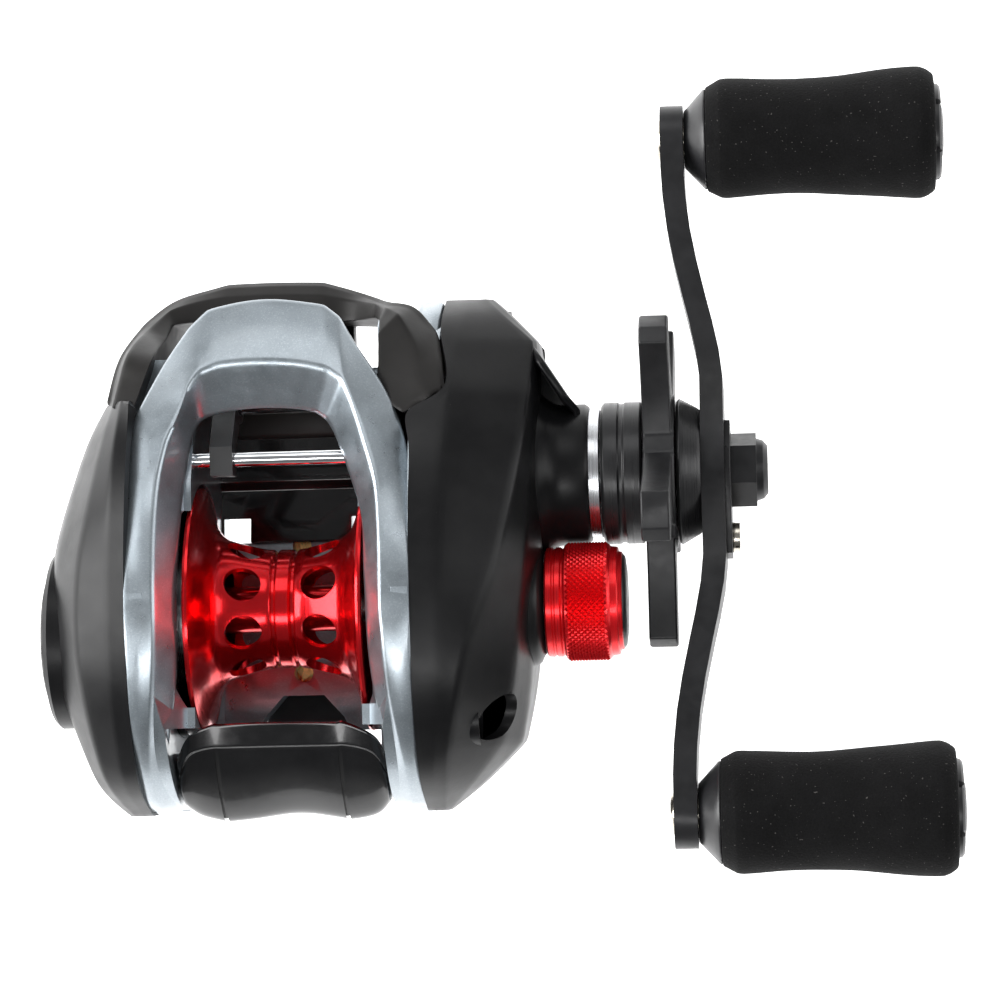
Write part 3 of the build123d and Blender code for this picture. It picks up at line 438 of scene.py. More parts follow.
def subdivide(obj):
    """Subdivides the cage, its points first moved so that the surface passes where they were."""
    aims = [v.co.copy() for v in obj.data.vertices]
    surface = modifier(obj, "SUBSURF", levels=2)
    for _ in range(7):
        bpy.context.view_layer.update()
        graph = bpy.context.evaluated_depsgraph_get()
        got = obj.evaluated_get(graph).data
        for i, aim in enumerate(aims):
            obj.data.vertices[i].co += (aim - got.vertices[i].co) * 0.8
        obj.data.update()
    surface.levels = 3
    apply_all(obj)


def ring_creases(obj, cols, along, across=()):
    """Creases: along has a weight for each column's line, across (row, first column, last, weight)."""
    bm = bmesh.new()
    bm.from_mesh(obj.data)
    layer = bm.edges.layers.float.new("crease_edge")
    for e in bm.edges:
        a, b = sorted(v.index for v in e.verts)
        if a % cols == b % cols and b - a == cols:
            e[layer] = along[a % cols]
        elif a // cols == b // cols:
            ends = sorted((a % cols, b % cols))
            for row, low, high, weight in across:
                if a // cols == row and low <= ends[0] and ends[1] <= high:
                    e[layer] = max(e[layer], weight)
    bm.to_mesh(obj.data)
    bm.free()


def modifier(obj, kind, **values):
    m = obj.modifiers.new(kind.lower(), kind)
    for key, value in values.items():
        setattr(m, key, value)
    return m


def smooth(obj, angle):
    """Shades smooth, with sharp edges where the faces turn by more than the angle."""
    for p in obj.data.polygons:
        p.use_smooth = True
    bm = bmesh.new()
    bm.from_mesh(obj.data)
    limit = math.radians(angle)
    for e in bm.edges:
        e.smooth = len(e.link_faces) != 2 or e.calc_face_angle(0.0) < limit
    bm.to_mesh(obj.data)
    bm.free()


def paint(obj, material):
    obj.data.materials.clear()
    obj.data.materials.append(material)


def built(name, bm):
    """An object from a bmesh, which is freed."""
    data = bpy.data.meshes.new(name)
    bm.to_mesh(data)
    bm.free()
    obj = bpy.data.objects.new(name, data)
    bpy.context.scene.collection.objects.link(obj)
    return obj


def join(name, objs):
    """One object from several, their meshes put together."""
    bm = bmesh.new()
    for o in objs:
        bm.from_mesh(o.data)
        bpy.data.objects.remove(o)
    return built(name, bm)


def cut(obj, cutters):
    """Takes the cutters out of the object and deletes them."""
    for c in cutters:
        modifier(obj, "BOOLEAN", operation="DIFFERENCE", solver="EXACT", object=c)
    apply_all(obj)
    for c in cutters:
        bpy.data.objects.remove(c)


def rounded(obj, width, segments=3):
    """Bevels the sharp edges and keeps the flats flat."""
    modifier(obj, "BEVEL", width=width * MM, segments=segments, limit_method="ANGLE",
             angle_limit=math.radians(30.0), harden_normals=True, use_clamp_overlap=True)
    apply_all(obj)


def done(obj, angle, body, material, replaced=()):
    """Finishes a piece: its shading, material and slot, the nodes that it replaces and its body."""
    smooth(obj, angle)
    paint(obj, material)
    if replaced:
        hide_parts(*replaced)
    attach(obj, body)


def prism(name, outline, z0, z1):
    """An upright solid on an (x, y) outline."""
    count = len(outline)
    verts = [(x, y, z0) for x, y in outline] + [(x, y, z1) for x, y in outline]
    faces = [tuple(range(count)), tuple(range(2 * count - 1, count - 1, -1))]
    faces += [(i, (i + 1) % count, (i + 1) % count + count, i + count) for i in range(count)]
    obj = make_mesh(name, verts, faces)
    tidy(obj)
    return obj


def cylinder(name, r, x0, x1, y, z, segments=64):
    return revolved(name, [(x0, 0.0), (x0, r), (x1, r), (x1, 0.0)], y, z, segments, False)


# ------------------------------------------------------------------ hood

HOOD = [
    # outer top edge, crease and inner lower edge, from the left leg's foot round the front to the right leg's
    ((-18.55, -26.7, 15.8), (-16.9, -26.8, 15.6), (-14.7, -26.7, 15.8)),
    ((-18.6, -26.75, 22.0), (-16.9, -26.9, 22.2), (-14.7, -26.7, 22.0)),
    ((-18.6, -25.4, 28.4), (-16.8, -25.6, 28.8), (-14.6, -25.2, 28.2)),
    ((-18.6, -20.6, 35.8), (-16.7, -20.6, 36.2), (-14.6, -20.4, 34.8)),
    ((-18.55, -13.5, 40.7), (-15.7, -13.5, 40.9), (-13.4, -13.5, 37.0)),
    ((-18.5, -6.0, 42.85), (-14.9, -6.0, 43.0), (-12.55, -6.0, 38.9)),
    ((-18.5, 1.4, 43.5), (-14.7, 1.0, 43.5), (-12.5, 1.0, 39.3)),
    ((-18.5, 8.6, 41.8), (-14.8, 6.6, 42.7), (-12.3, 7.0, 38.3)),
    ((-18.5, 15.5, 39.6), (-14.7, 12.6, 41.4), (-12.0, 12.6, 36.6)),
    ((-18.6, 20.8, 37.6), (-14.2, 17.6, 40.2), (-11.6, 17.2, 34.4)),
    ((-18.2, 24.4, 36.4), (-13.3, 21.8, 39.0), (-11.1, 20.6, 34.0)),
    ((-15.6, 30.0, 34.2), (-11.7, 25.8, 37.8), (-10.5, 23.3, 33.2)),
    ((-13.4, 33.8, 33.2), (-10.6, 29.0, 36.9), (-9.5, 24.9, 32.7)),
    ((-11.1, 37.1, 32.5), (-9.2, 30.9, 36.3), (-8.2, 25.5, 32.6)),
    ((-8.6, 39.4, 32.1), (-7.1, 31.8, 36.0), (-6.6, 25.9, 32.5)),
    ((-4.6, 40.3, 32.0), (-4.2, 32.1, 36.0), (-4.2, 26.2, 32.5)),
    ((-0.4, 40.6, 32.0), (-0.2, 32.1, 36.0), (-0.4, 26.3, 32.5)),
    ((3.6, 40.2, 32.0), (4.0, 31.7, 36.0), (3.4, 26.0, 32.5)),
    ((6.8, 39.6, 32.0), (7.4, 30.9, 36.0), (5.6, 25.4, 32.6)),
    ((8.9, 37.9, 32.2), (9.4, 29.5, 36.3), (6.9, 24.4, 32.8)),
    ((10.9, 34.4, 32.8), (10.5, 27.2, 37.0), (7.8, 23.0, 33.3)),
    ((13.3, 30.8, 33.7), (11.5, 24.4, 37.8), (8.6, 21.2, 34.0)),
    ((15.6, 26.8, 34.9), (12.5, 21.2, 38.8), (9.6, 18.6, 35.0)),
    ((17.3, 22.4, 36.3), (13.6, 17.4, 39.8), (10.8, 15.0, 35.8)),
    ((18.2, 17.4, 38.0), (14.2, 13.4, 40.8), (11.8, 11.0, 36.8)),
    ((18.4, 9.2, 41.4), (14.5, 7.0, 42.5), (12.1, 5.6, 38.8)),
    ((18.4, 1.4, 43.5), (14.6, 1.0, 43.55), (12.3, 1.0, 39.6)),
    ((18.4, -6.0, 42.85), (14.9, -6.0, 43.1), (12.5, -6.0, 39.0)),
    ((18.4, -13.5, 40.7), (15.6, -13.5, 40.9), (13.4, -13.5, 37.4)),
    ((18.45, -20.6, 35.8), (16.5, -20.6, 36.2), (14.6, -20.4, 34.8)),
    ((18.5, -25.4, 28.4), (16.7, -25.6, 28.8), (14.6, -25.2, 28.2)),
    ((18.5, -26.75, 22.0), (16.8, -26.9, 22.2), (14.7, -26.7, 22.0)),
    ((18.45, -26.7, 15.8), (16.8, -26.8, 15.6), (14.7, -26.7, 15.8)),
]


HOOD_TOP, CROWN_TOP = 43.59, 43.55  # just below the CAD box's top


def hood_section(station):
    (ox, oy, oz), (cx, cy, cz), (ix, iy, iz) = station
    side = -1 if ox < 0 else 1
    wall = 1.3 + 3.0 * max(0.0, min(1.0, (20.0 - abs(iy)) / 10.0))
    crown = (ox * 0.5 + cx * 0.5, oy * 0.5 + cy * 0.5, min(oz * 0.5 + cz * 0.5 + 0.3, CROWN_TOP))
    return [
        (ox, oy, oz - 1.6), (ox, oy, oz), crown, (cx, cy, cz), (ix, iy, iz),
        (ix + 0.5 * side, iy + 0.6, iz - wall), (ox - 0.9 * side, oy - 0.9, oz - 2.3),
    ]


def make_hood(m):
    rings = [hood_section(s) for s in HOOD]
    obj = skinned("hood_shell", rings)
    across = [(row, 0, 5, 0.45) for row in (10, 13, 14, 18, 19)]
    ring_creases(obj, len(rings[0]), [0.8, 0.85, 0.0, 0.9, 0.85, 0.6, 0.6], across)
    subdivide(obj)
    for v in obj.data.vertices:
        v.co.z = min(v.co.z, HOOD_TOP * MM)
    done(obj, 60, "housing", m["silver"], ["hood"])
    corner = make_mesh("frame_front_corner", [
        (18.3, 33.0, 8.0), (21.9, 33.0, 8.0), (21.9, 37.6, 8.0), (18.3, 37.6, 8.0),
        (18.3, 33.0, 30.6), (21.9, 33.0, 30.6), (21.9, 38.4, 26.0), (18.3, 38.4, 26.0),
        (18.3, 40.4, 14.0), (21.9, 40.4, 14.0), (18.3, 40.8, 21.0), (21.9, 40.8, 21.0),
    ], [
        (0, 3, 2, 1), (4, 5, 6, 7), (0, 1, 5, 4), (7, 6, 11, 10), (10, 11, 9, 8), (8, 9, 2, 3),
        (0, 4, 7, 10, 8, 3), (1, 2, 9, 11, 6, 5),
    ])
    tidy(corner)
    rounded(corner, 0.9, 4)
    done(corner, 40, "housing", m["silver"])


# ------------------------------------------------------------------ crank-side cover

COVER_WALL = 1.3
GEAR_STATIONS = [
    # y, then (x, z) from the inner top edge round the outside to the inner bottom edge
    (-27.2, [(18.4, 24.0), (19.4, 24.0), (20.6, 23.6), (21.2, 22.0), (21.4, 20.0),
             (21.3, 18.5), (21.0, 17.4), (20.0, 17.0), (18.4, 17.0)]),
    (-23.4, [(18.4, 33.2), (20.0, 32.9), (21.7, 31.9), (24.9, 27.6), (26.2, 23.4),
             (26.0, 15.0), (24.4, 11.0), (21.5, 9.8), (18.4, 9.8)]),
    (-18.4, [(18.4, 38.4), (20.6, 38.0), (22.6, 37.3), (28.8, 30.4), (31.2, 24.6),
             (31.0, 13.6), (28.2, 7.8), (23.0, 6.0), (18.4, 6.0)]),
    (-11.4, [(18.4, 41.7), (21.2, 41.3), (24.3, 40.5), (30.6, 32.6), (32.6, 26.4),
             (32.4, 10.6), (29.6, 4.4), (24.0, 2.6), (18.4, 2.4)]),
    (-3.4, [(18.4, 43.1), (21.6, 42.7), (26.4, 41.2), (31.8, 34.4), (33.4, 26.8),
            (33.4, 9.8), (31.0, 3.0), (25.0, 1.0), (18.4, 0.8)]),
    (4.7, [(18.4, 43.2), (22.2, 42.8), (29.2, 39.9), (32.8, 34.8), (34.2, 27.0),
           (34.2, 9.2), (31.6, 2.4), (25.0, 0.5), (18.4, 0.5)]),
    (14.0, [(18.4, 41.8), (22.6, 41.4), (31.2, 37.2), (33.4, 33.4), (34.5, 26.8),
            (34.5, 9.0), (31.6, 2.4), (25.0, 0.5), (18.4, 0.5)]),
    (21.0, [(18.4, 39.8), (23.0, 39.4), (32.6, 34.8), (33.8, 31.4), (34.5, 26.4),
            (34.5, 9.2), (31.5, 2.8), (25.0, 0.8), (18.4, 0.8)]),
    (25.2, [(18.4, 37.8), (23.2, 37.6), (33.0, 32.8), (34.0, 30.0), (34.5, 25.6),
            (34.5, 9.8), (31.3, 3.2), (25.2, 1.3), (18.4, 1.3)]),
    (28.2, [(22.9, 36.2), (24.0, 35.9), (33.4, 31.0), (34.2, 28.6), (34.5, 25.0),
            (34.5, 10.4), (31.2, 3.9), (25.4, 2.2), (22.9, 2.2)]),
    (34.6, [(22.2, 31.0), (24.8, 30.5), (33.6, 26.0), (34.3, 24.6), (34.5, 22.6),
            (34.5, 12.6), (31.0, 7.0), (25.6, 6.0), (22.0, 6.0)]),
    (38.6, [(22.0, 26.2), (25.2, 25.8), (29.6, 23.8), (30.6, 22.6), (30.9, 21.2),
            (30.8, 14.6), (28.8, 11.2), (25.6, 10.6), (22.0, 10.6)]),
    (41.0, [(22.0, 20.6), (25.2, 20.5), (27.4, 20.3), (28.2, 19.7), (28.4, 18.5),
            (28.3, 16.6), (27.7, 15.8), (25.4, 15.6), (22.0, 15.6)]),
]


def shell_from(name, stations, weights, across=()):
    """A cover: a grid of stations along Y, capped front and rear, subdivided, then given its wall."""
    cols = len(stations[0][1])
    verts = [(x, y, z) for y, ring in stations for x, z in ring]
    faces = grid_faces(len(stations), cols)
    faces.append(tuple(reversed(range(cols))))
    faces.append(tuple(range((len(stations) - 1) * cols, len(stations) * cols)))
    obj = make_mesh(name, verts, faces)
    tidy(obj, 1e-7)
    last = len(stations) - 1
    ends = [(0, 0, cols - 1, 0.85), (last, 0, cols - 1, 0.85)]
    ring_creases(obj, cols, weights, ends + list(across))
    subdivide(obj)
    modifier(obj, "SOLIDIFY", thickness=COVER_WALL * MM, offset=-1.0)
    apply_all(obj)
    return obj


def make_gear_cover(m):
    weights = [1.0, 0.45, 0.93, 0.8, 0.7, 0.4, 0.2, 0.2, 1.0]
    across = [(2, 2, 6, 0.75), (9, 1, 7, 0.3), (10, 1, 7, 0.75)]
    shell = shell_from("gear_cover_shell", GEAR_STATIONS, weights, across)
    screws = [axis_of("cover_screw_rear"), axis_of("cover_screw_front")]
    holes = [cylinder("screw_hole", 3.0, 22.5, 40.0, y, z) for y, z in screws]
    neck_hole = cylinder("neck_hole", 4.0, 30.0, 40.0, SPOOL_Y, SPOOL_Z)
    boss_hole = cylinder("boss_hole", 8.0, 30.0, 40.0, DRIVE_Y, DRIVE_Z)
    cut(shell, [*holes, neck_hole, boss_hole])
    boss = revolved("boss", [
        (30.0, 7.0), (30.0, 11.2), (33.6, 11.2), (34.6, 10.9), (35.4, 10.2), (36.4, 9.6), (37.6, 9.4),
        (40.3, 9.4), (40.8, 9.0), (40.8, 5.2), (39.2, 5.2), (39.0, 7.0),
    ], DRIVE_Y, DRIVE_Z, 96)
    neck = revolved("neck", [
        (31.0, 2.7), (31.0, 8.6), (33.4, 8.4), (34.0, 7.9), (34.3, 7.2), (34.6, 6.8), (34.6, 5.4),
        (37.9, 5.4), (37.9, 2.7),
    ], SPOOL_Y, SPOOL_Z, 96)
    tubes = []
    for y, z in screws:
        outer = 26.4 if y < 0 else 30.4
        well = [(22.2, 1.5), (22.2, 3.7), (outer, 3.7), (outer, 2.95), (23.2, 2.95), (23.2, 1.5)]
        tubes.append(revolved("well", well, y, z, 48))
    # Rib from the front of the cover to the boss, with a recess behind it.
    rib_line = (
        (33.9, 34.2, 25.9), (35.3, 32.0, 27.9), (38.3, 27.3, 27.0), (39.8, 25.6, 24.8), (40.2, 22.0, 23.6),
    )
    rib_verts = []
    for x, y, z in rib_line:
        rib_verts += [(x, y, 13.0), (x, y, z), (x - 0.85, y - 0.6, z), (x - 0.85, y - 0.6, 13.0)]
    rib_faces = grid_faces(len(rib_line), 4, False, True) + [(0, 1, 2, 3), (19, 18, 17, 16)]
    web = make_mesh("rib", rib_verts, rib_faces)
    tidy(web)
    rounded(web, 0.35)
    foot = [(32.6, 35.0), (34.2, 32.8), (37.8, 26.8), (39.0, 25.0), (39.0, 14.0), (32.6, 14.0)]
    fill = prism("fill", foot, 12.4, 21.4)
    rounded(fill, 0.6)
    web = join("web", [web, fill])
    obj = join("gear_cover_shell", [shell, boss, neck, web] + tubes)
    done(obj, 40, "housing", m["cover"], ["gear_cover"])


# ------------------------------------------------------------------ palm-side cover

PALM_STATIONS = [
    (-27.2, [(-18.5, 24.0), (-19.6, 24.0), (-21.0, 23.6), (-21.8, 22.4), (-22.2, 20.4),
             (-22.0, 18.4), (-21.4, 17.4), (-20.2, 17.0), (-18.5, 17.0)]),
    (-23.7, [(-18.5, 33.2), (-20.4, 32.7), (-22.6, 31.4), (-24.4, 28.0), (-25.1, 22.6),
             (-25.0, 15.6), (-23.8, 12.0), (-21.6, 10.0), (-18.5, 9.8)]),
    (-19.0, [(-18.5, 38.0), (-20.6, 37.4), (-23.8, 35.4), (-26.3, 30.4), (-27.1, 23.0),
             (-26.9, 14.6), (-25.6, 9.6), (-22.6, 6.8), (-18.5, 6.2)]),
    (-12.0, [(-18.5, 41.4), (-20.8, 40.8), (-24.8, 38.4), (-28.5, 31.8), (-29.7, 23.4),
             (-29.4, 14.0), (-27.4, 7.4), (-23.2, 3.6), (-18.5, 2.8)]),
    (-5.0, [(-18.5, 43.0), (-21.0, 42.3), (-25.4, 39.8), (-29.8, 32.6), (-31.3, 23.6),
            (-31.0, 13.4), (-28.2, 6.2), (-23.4, 1.6), (-18.5, 0.9)]),
    (2.0, [(-18.5, 43.4), (-21.0, 42.7), (-25.4, 40.0), (-29.8, 32.6), (-31.6, 23.6),
           (-31.1, 13.4), (-28.2, 6.2), (-23.4, 1.5), (-18.5, 0.7)]),
    (9.0, [(-18.5, 42.8), (-20.8, 42.1), (-24.7, 39.4), (-28.9, 32.4), (-30.9, 23.6),
           (-30.4, 13.6), (-27.6, 6.2), (-23.0, 1.5), (-18.5, 0.7)]),
    (17.0, [(-18.5, 41.1), (-20.6, 40.4), (-23.4, 37.4), (-26.7, 31.2), (-28.4, 24.0),
            (-28.0, 13.8), (-26.0, 6.6), (-22.6, 2.2), (-18.5, 1.1)]),
    (23.0, [(-18.5, 38.8), (-20.2, 38.1), (-22.2, 35.4), (-24.8, 30.2), (-26.2, 23.6),
            (-25.8, 13.8), (-24.2, 7.2), (-21.6, 2.8), (-18.5, 1.8)]),
    (27.4, [(-18.5, 36.6), (-19.8, 35.8), (-21.2, 33.2), (-22.9, 28.8), (-23.8, 23.0),
            (-23.6, 14.0), (-22.4, 7.8), (-20.6, 3.4), (-18.5, 2.4)]),
]


def make_palm_cover(m):
    weights = [1.0, 0.5, 0.9, 0.5, 0.1, 0.3, 0.3, 0.3, 1.0]
    shell = shell_from("palm_cover_shell", PALM_STATIONS, weights)
    y, z = axis_of("brake_dial")
    cut(shell, [cylinder("dial_hole", 10.85, -40.0, -27.0, y, z, 128)])
    rim = revolved("dial_rim", [
        (-30.9, 10.85), (-31.0, 11.4), (-30.4, 12.0), (-26.5, 12.0), (-26.5, 2.1), (-28.8, 2.1),
        (-29.3, 10.0), (-29.3, 10.85),
    ], y, z, 128)
    obj = join("palm_cover_shell", [shell, rim])
    done(obj, 40, "housing", m["cover"], ["palm_cover"])


def make_dial(m):
    y, z = axis_of("brake_dial")
    scallops = 18

    def wave(x, angle, r):
        return -0.28 * max(0.0, math.cos(scallops * angle)) if 10.2 < r and x < -29.7 else 0.0
    disc = revolved("brake_dial_shell", [
        (-31.95, 0.0), (-31.95, 2.0), (-31.85, 4.0), (-31.7, 6.0), (-31.7, 7.6), (-31.9, 8.0), (-31.8, 8.8),
        (-31.4, 10.0), (-31.0, 10.5), (-29.8, 10.6), (-29.6, 10.4), (-29.6, 2.0), (-26.2, 2.0), (-26.0, 1.8),
        (-26.0, 0.0),
    ], y, z, 216, False, wave)
    done(disc, 40, "dial", m["nose"], ["brake_dial"])


# ------------------------------------------------------------------ nose bumper

NOSE_PATH = [
    # outer x, y; inner x, y; top z outer, between and inner; bottom z, from left to right
    ((-22.7, 27.6), (-18.5, 25.3), 30.8, 34.6, 36.4, 2.6),
    ((-22.5, 31.2), (-17.4, 29.6), 27.6, 31.8, 33.4, 2.8),
    ((-21.7, 35.0), (-16.2, 33.6), 24.2, 29.8, 31.0, 3.2),
    ((-19.8, 39.4), (-16.0, 36.6), 17.8, 20.6, 22.4, 3.8),
    ((-16.4, 42.5), (-15.6, 39.0), 15.2, 17.0, 18.0, 4.4),
    ((-12.6, 43.9), (-12.8, 39.5), 14.4, 15.8, 16.6, 4.7),
    ((-8.6, 44.9), (-8.6, 39.5), 14.0, 15.4, 16.2, 4.8),
    ((-2.0, 45.0), (-2.0, 39.4), 14.0, 15.4, 16.2, 4.8),
    ((4.4, 44.8), (4.4, 39.2), 14.0, 15.4, 16.2, 4.8),
    ((8.6, 43.5), (8.8, 39.1), 14.8, 16.2, 16.8, 4.7),
    ((12.4, 41.9), (12.4, 38.9), 18.6, 20.6, 21.8, 4.2),
    ((15.0, 40.6), (13.8, 37.7), 25.0, 27.8, 29.0, 3.8),
    ((18.0, 39.75), (13.9, 35.8), 27.2, 30.6, 31.0, 3.2),
    ((20.1, 37.6), (13.9, 33.2), 28.2, 31.6, 31.8, 3.0),
    ((21.7, 35.2), (13.9, 30.8), 30.3, 32.8, 32.8, 2.8),
    ((22.5, 31.4), (14.0, 28.0), 33.8, 34.6, 33.6, 2.6),
    ((22.9, 27.9), (17.4, 24.9), 35.7, 36.5, 36.4, 2.4),
]


def make_nose(m):
    rings = []
    for (ox, oy), (ix, iy), zo, zm, zi, zb in NOSE_PATH:
        d = Vector((ox - ix, oy - iy)).normalized()
        mid = ((ox * 0.62 + ix * 0.38), (oy * 0.62 + iy * 0.38))
        rings.append([
            (ox, oy, zb + 3.0), (ox, oy, zo - 1.2), (ox - d.x * 0.6, oy - d.y * 0.6, zo), (*mid, zm),
            (ix, iy, zi), (ix, iy, zi - 3.4), (ix, iy, zb + 3.0), (*mid, zb),
        ])
    obj = skinned("nose_bumper", rings)
    last = len(rings) - 1
    across = [(0, 0, 7, 0.95), (last, 0, 7, 0.95)] + [(row, 0, 7, 0.6) for row in (3, 6, 8)]
    across += [(row, 3, 6, 0.7) for row in (4, 10, 11, 12)]
    ring_creases(obj, len(rings[0]), [0.5, 0.7, 0.8, 0.85, 0.9, 0.3, 0.8, 0.4], across)
    subdivide(obj)
    tray = [(-12.9, 23.9), (12.9, 23.9), (12.9, 30.6), (8.0, 30.6), (8.0, 40.0), (-12.9, 40.0)]
    floor = prism("nose_floor", tray, 4.9, 8.6)
    rounded(floor, 0.6)
    obj = join("nose_bumper", [obj, floor])
    done(obj, 50, "housing", m["nose"], ["nose_cover"])


# ------------------------------------------------------------------ dark sheet over the deck: painted shade and dark reflection


def make_deck_shade_sheet(m):
    """A black sheet on the silver deck below the line guide, painted shade and dark reflection from the
    hood's underside; open over the deck's two side windows.
    """
    xs = (-12.7, -10.8, -7.0, -2.4, 2.4, 7.0, 10.8, 12.7)
    path = ((9.5, 7.6), (12.9, 6.9), (17.0, 6.5), (18.2, 7.3))
    path += ((20.4, 7.3), (21.4, 6.2), (30.6, 6.6), (38.8, 8.9))
    verts = [(x, y, z + (0.5 if abs(x) > 12 else 0.0)) for y, z in path for x in xs]
    cols = len(xs)
    faces = []
    for i in range(len(path) - 1):
        for j in range(cols - 1):
            if (i == 0 and j in (1, 5)) or (i == len(path) - 2 and j >= 5):
                continue
            a = i * cols + j
            faces.append((a, a + 1, a + cols + 1, a + cols))
    # Painted shade: this black sheet stands for the dark reflection and shade on the silver deck.
    obj = make_mesh("deck_shade_sheet", verts, faces)
    modifier(obj, "SOLIDIFY", thickness=0.7 * MM, offset=1.0)
    rounded(obj, 0.16)
    done(obj, 30, "housing", m["gloss"])


# ------------------------------------------------------------------ thumb bar

THUMB_STATIONS = [
    # x; front lip y, z; top rear break y, z; rear y, z; lower rear y, z
    (-13.9, (-20.4, 31.8), (-22.2, 30.8), (-25.0, 26.0), (-24.6, 20.0)),
    (-13.0, (-18.0, 33.4), (-20.4, 32.6), (-26.4, 25.6), (-25.4, 19.4)),
    (-11.4, (-16.2, 34.6), (-18.7, 33.9), (-27.4, 25.0), (-25.8, 19.0)),
    (-8.7, (-15.1, 34.9), (-18.1, 34.3), (-28.1, 24.6), (-26.0, 18.8)),
    (-7.9, (-15.1, 34.9), (-18.1, 34.3), (-28.15, 24.6), (-26.0, 18.8)),
    (-4.0, (-15.0, 35.0), (-18.1, 34.1), (-27.8, 24.6), (-26.0, 18.8)),
    (1.0, (-15.0, 35.0), (-18.1, 34.0), (-27.2, 24.6), (-26.0, 18.8)),
    (5.4, (-15.1, 35.0), (-18.1, 34.1), (-27.7, 24.6), (-26.0, 18.8)),
    (7.7, (-15.1, 34.9), (-18.1, 34.3), (-28.1, 24.6), (-26.0, 18.8)),
    (8.6, (-15.1, 34.9), (-18.1, 34.3), (-28.15, 24.6), (-26.0, 18.8)),
    (11.5, (-16.4, 34.6), (-18.8, 33.9), (-27.6, 25.0), (-25.8, 19.0)),
    (13.1, (-18.0, 33.4), (-20.4, 32.6), (-26.4, 25.6), (-25.4, 19.4)),
    (13.9, (-20.4, 31.8), (-22.2, 30.8), (-25.0, 26.0), (-24.6, 20.0)),
]


THUMB_BOTTOM = 16.62


def make_thumb(m):
    rings = []
    for x, lip, brk, rear, low in THUMB_STATIONS:
        rings.append([
            (x, lip[0] - 0.7, lip[1] - 1.9), (x, lip[0], lip[1] - 0.9), (x, lip[0] - 0.25, lip[1]),
            (x, (lip[0] + brk[0]) / 2, (lip[1] + brk[1]) / 2 + 0.05), (x, *brk),
            (x, brk[0] - 0.25, brk[1] - 0.6),
            (x, (brk[0] + rear[0]) / 2 - 0.4, (brk[1] + rear[1]) / 2 + 0.9),
            (x, *rear), (x, *low), (x, low[0] + 1.2, 16.7), (x, -20.5, 16.7), (x, -19.4, 27.6),
        ])
    obj = skinned("thumb_bar_shell", rings)
    ring_creases(obj, len(rings[0]), [0.3, 0.6, 0.85, 0.0, 0.85, 0.8, 0.0, 0.35, 0.3, 0.5, 0.6, 0.5])
    subdivide(obj)
    for v in obj.data.vertices:
        v.co.z = max(v.co.z, THUMB_BOTTOM * MM)
    grooves = []
    half_width = 0.28
    for x in (-8.4, 7.9):
        lo, hi = x - half_width, x + half_width
        g = make_mesh("groove", [
            (lo, -18.4, 38), (hi, -18.4, 38), (hi, -18.4, 33.6), (lo, -18.4, 33.6),
            (lo, -30.0, 38), (hi, -30.0, 38), (hi, -30.0, 16), (lo, -30.0, 16),
            (lo, -27.7, 24.6), (hi, -27.7, 24.6), (hi, -25.3, 18.0), (lo, -25.3, 18.0),
            (lo, -23.2, 30.4), (hi, -23.2, 30.4),
        ], [
            (0, 1, 2, 3), (0, 4, 5, 1), (4, 7, 6, 5), (3, 2, 13, 12), (12, 13, 9, 8), (8, 9, 10, 11),
            (11, 10, 6, 7), (0, 3, 12, 8, 11, 7, 4), (1, 5, 6, 10, 9, 13, 2),
        ])
        tidy(g)
        grooves.append(g)
    cut(obj, grooves)
    done(obj, 40, "thumb", m["gloss"], ["thumb_bar"])


# ------------------------------------------------------------------ spool

SPOOL_OUTER = [
    (-11.7, 16.0), (-11.62, 16.38), (-11.3, 16.5), (-11.0, 16.42), (-10.85, 16.1), (-10.3, 13.9),
    (-9.8, 12.3), (-9.2, 10.9), (-8.5, 9.95), (-7.6, 9.35), (-6.0, 8.85), (-4.2, 8.35), (-2.6, 8.0),
    (-1.6, 7.92), (-1.35, 7.75), (-1.25, 7.3), (-0.95, 7.3), (-0.85, 7.75), (-0.6, 7.92), (1.0, 7.92),
    (1.25, 7.75), (1.35, 7.3), (1.65, 7.3), (1.75, 7.75), (2.0, 7.95), (3.0, 8.08), (4.6, 8.45), (6.2, 8.9),
    (7.6, 9.35), (8.5, 9.95), (9.2, 10.9), (9.8, 12.3), (10.3, 13.9), (10.85, 16.1), (11.0, 16.42),
    (11.3, 16.5), (11.62, 16.38), (11.7, 16.0),
]
SPOOL_INNER_RIGHT = [
    (11.7, 15.4), (11.2, 15.1), (10.5, 13.4), (9.7, 11.4), (8.4, 9.1), (6.2, 8.0), (4.0, 7.2), (1.4, 6.5),
    (1.1, 6.2), (1.1, 3.4), (1.4, 3.1), (9.0, 3.1), (9.2, 2.9), (9.2, 1.92),
]


def make_spool(m):
    left = [(-x, r) for x, r in reversed(SPOOL_INNER_RIGHT)]
    profile = SPOOL_OUTER + SPOOL_INNER_RIGHT + left
    obj = revolved("spool_shell", profile, SPOOL_Y, SPOOL_Z, 160)
    cutters = []
    inner, outer = 2.2, 2.55  # radii of a hole, which flares outwards
    for x in (-4.9, 5.1):
        for i in range(8):
            bm = bmesh.new()
            bmesh.ops.create_cone(
                bm, cap_ends=True, segments=40, radius1=inner * MM, radius2=outer * MM, depth=6 * MM)
            turn = Matrix.Rotation(math.radians(22.5 + 45 * i) - math.pi / 2, 4, "X")
            place = Matrix.Translation(Vector((x * MM, 0, SPOOL_Z * MM))) @ turn
            bm.transform(place @ Matrix.Translation((0, 0, 8.2 * MM)))
            cutters.append(built("hole", bm))
    holes = join("holes", cutters)
    cut(obj, [holes])
    done(obj, 32, "spool", m["spool_red"], ["spool"])


# ------------------------------------------------------------------ tension knob


KNURL_RADIUS, KNURL_PEAK, KNURL_PIT = 7.66, 0.27, -0.06


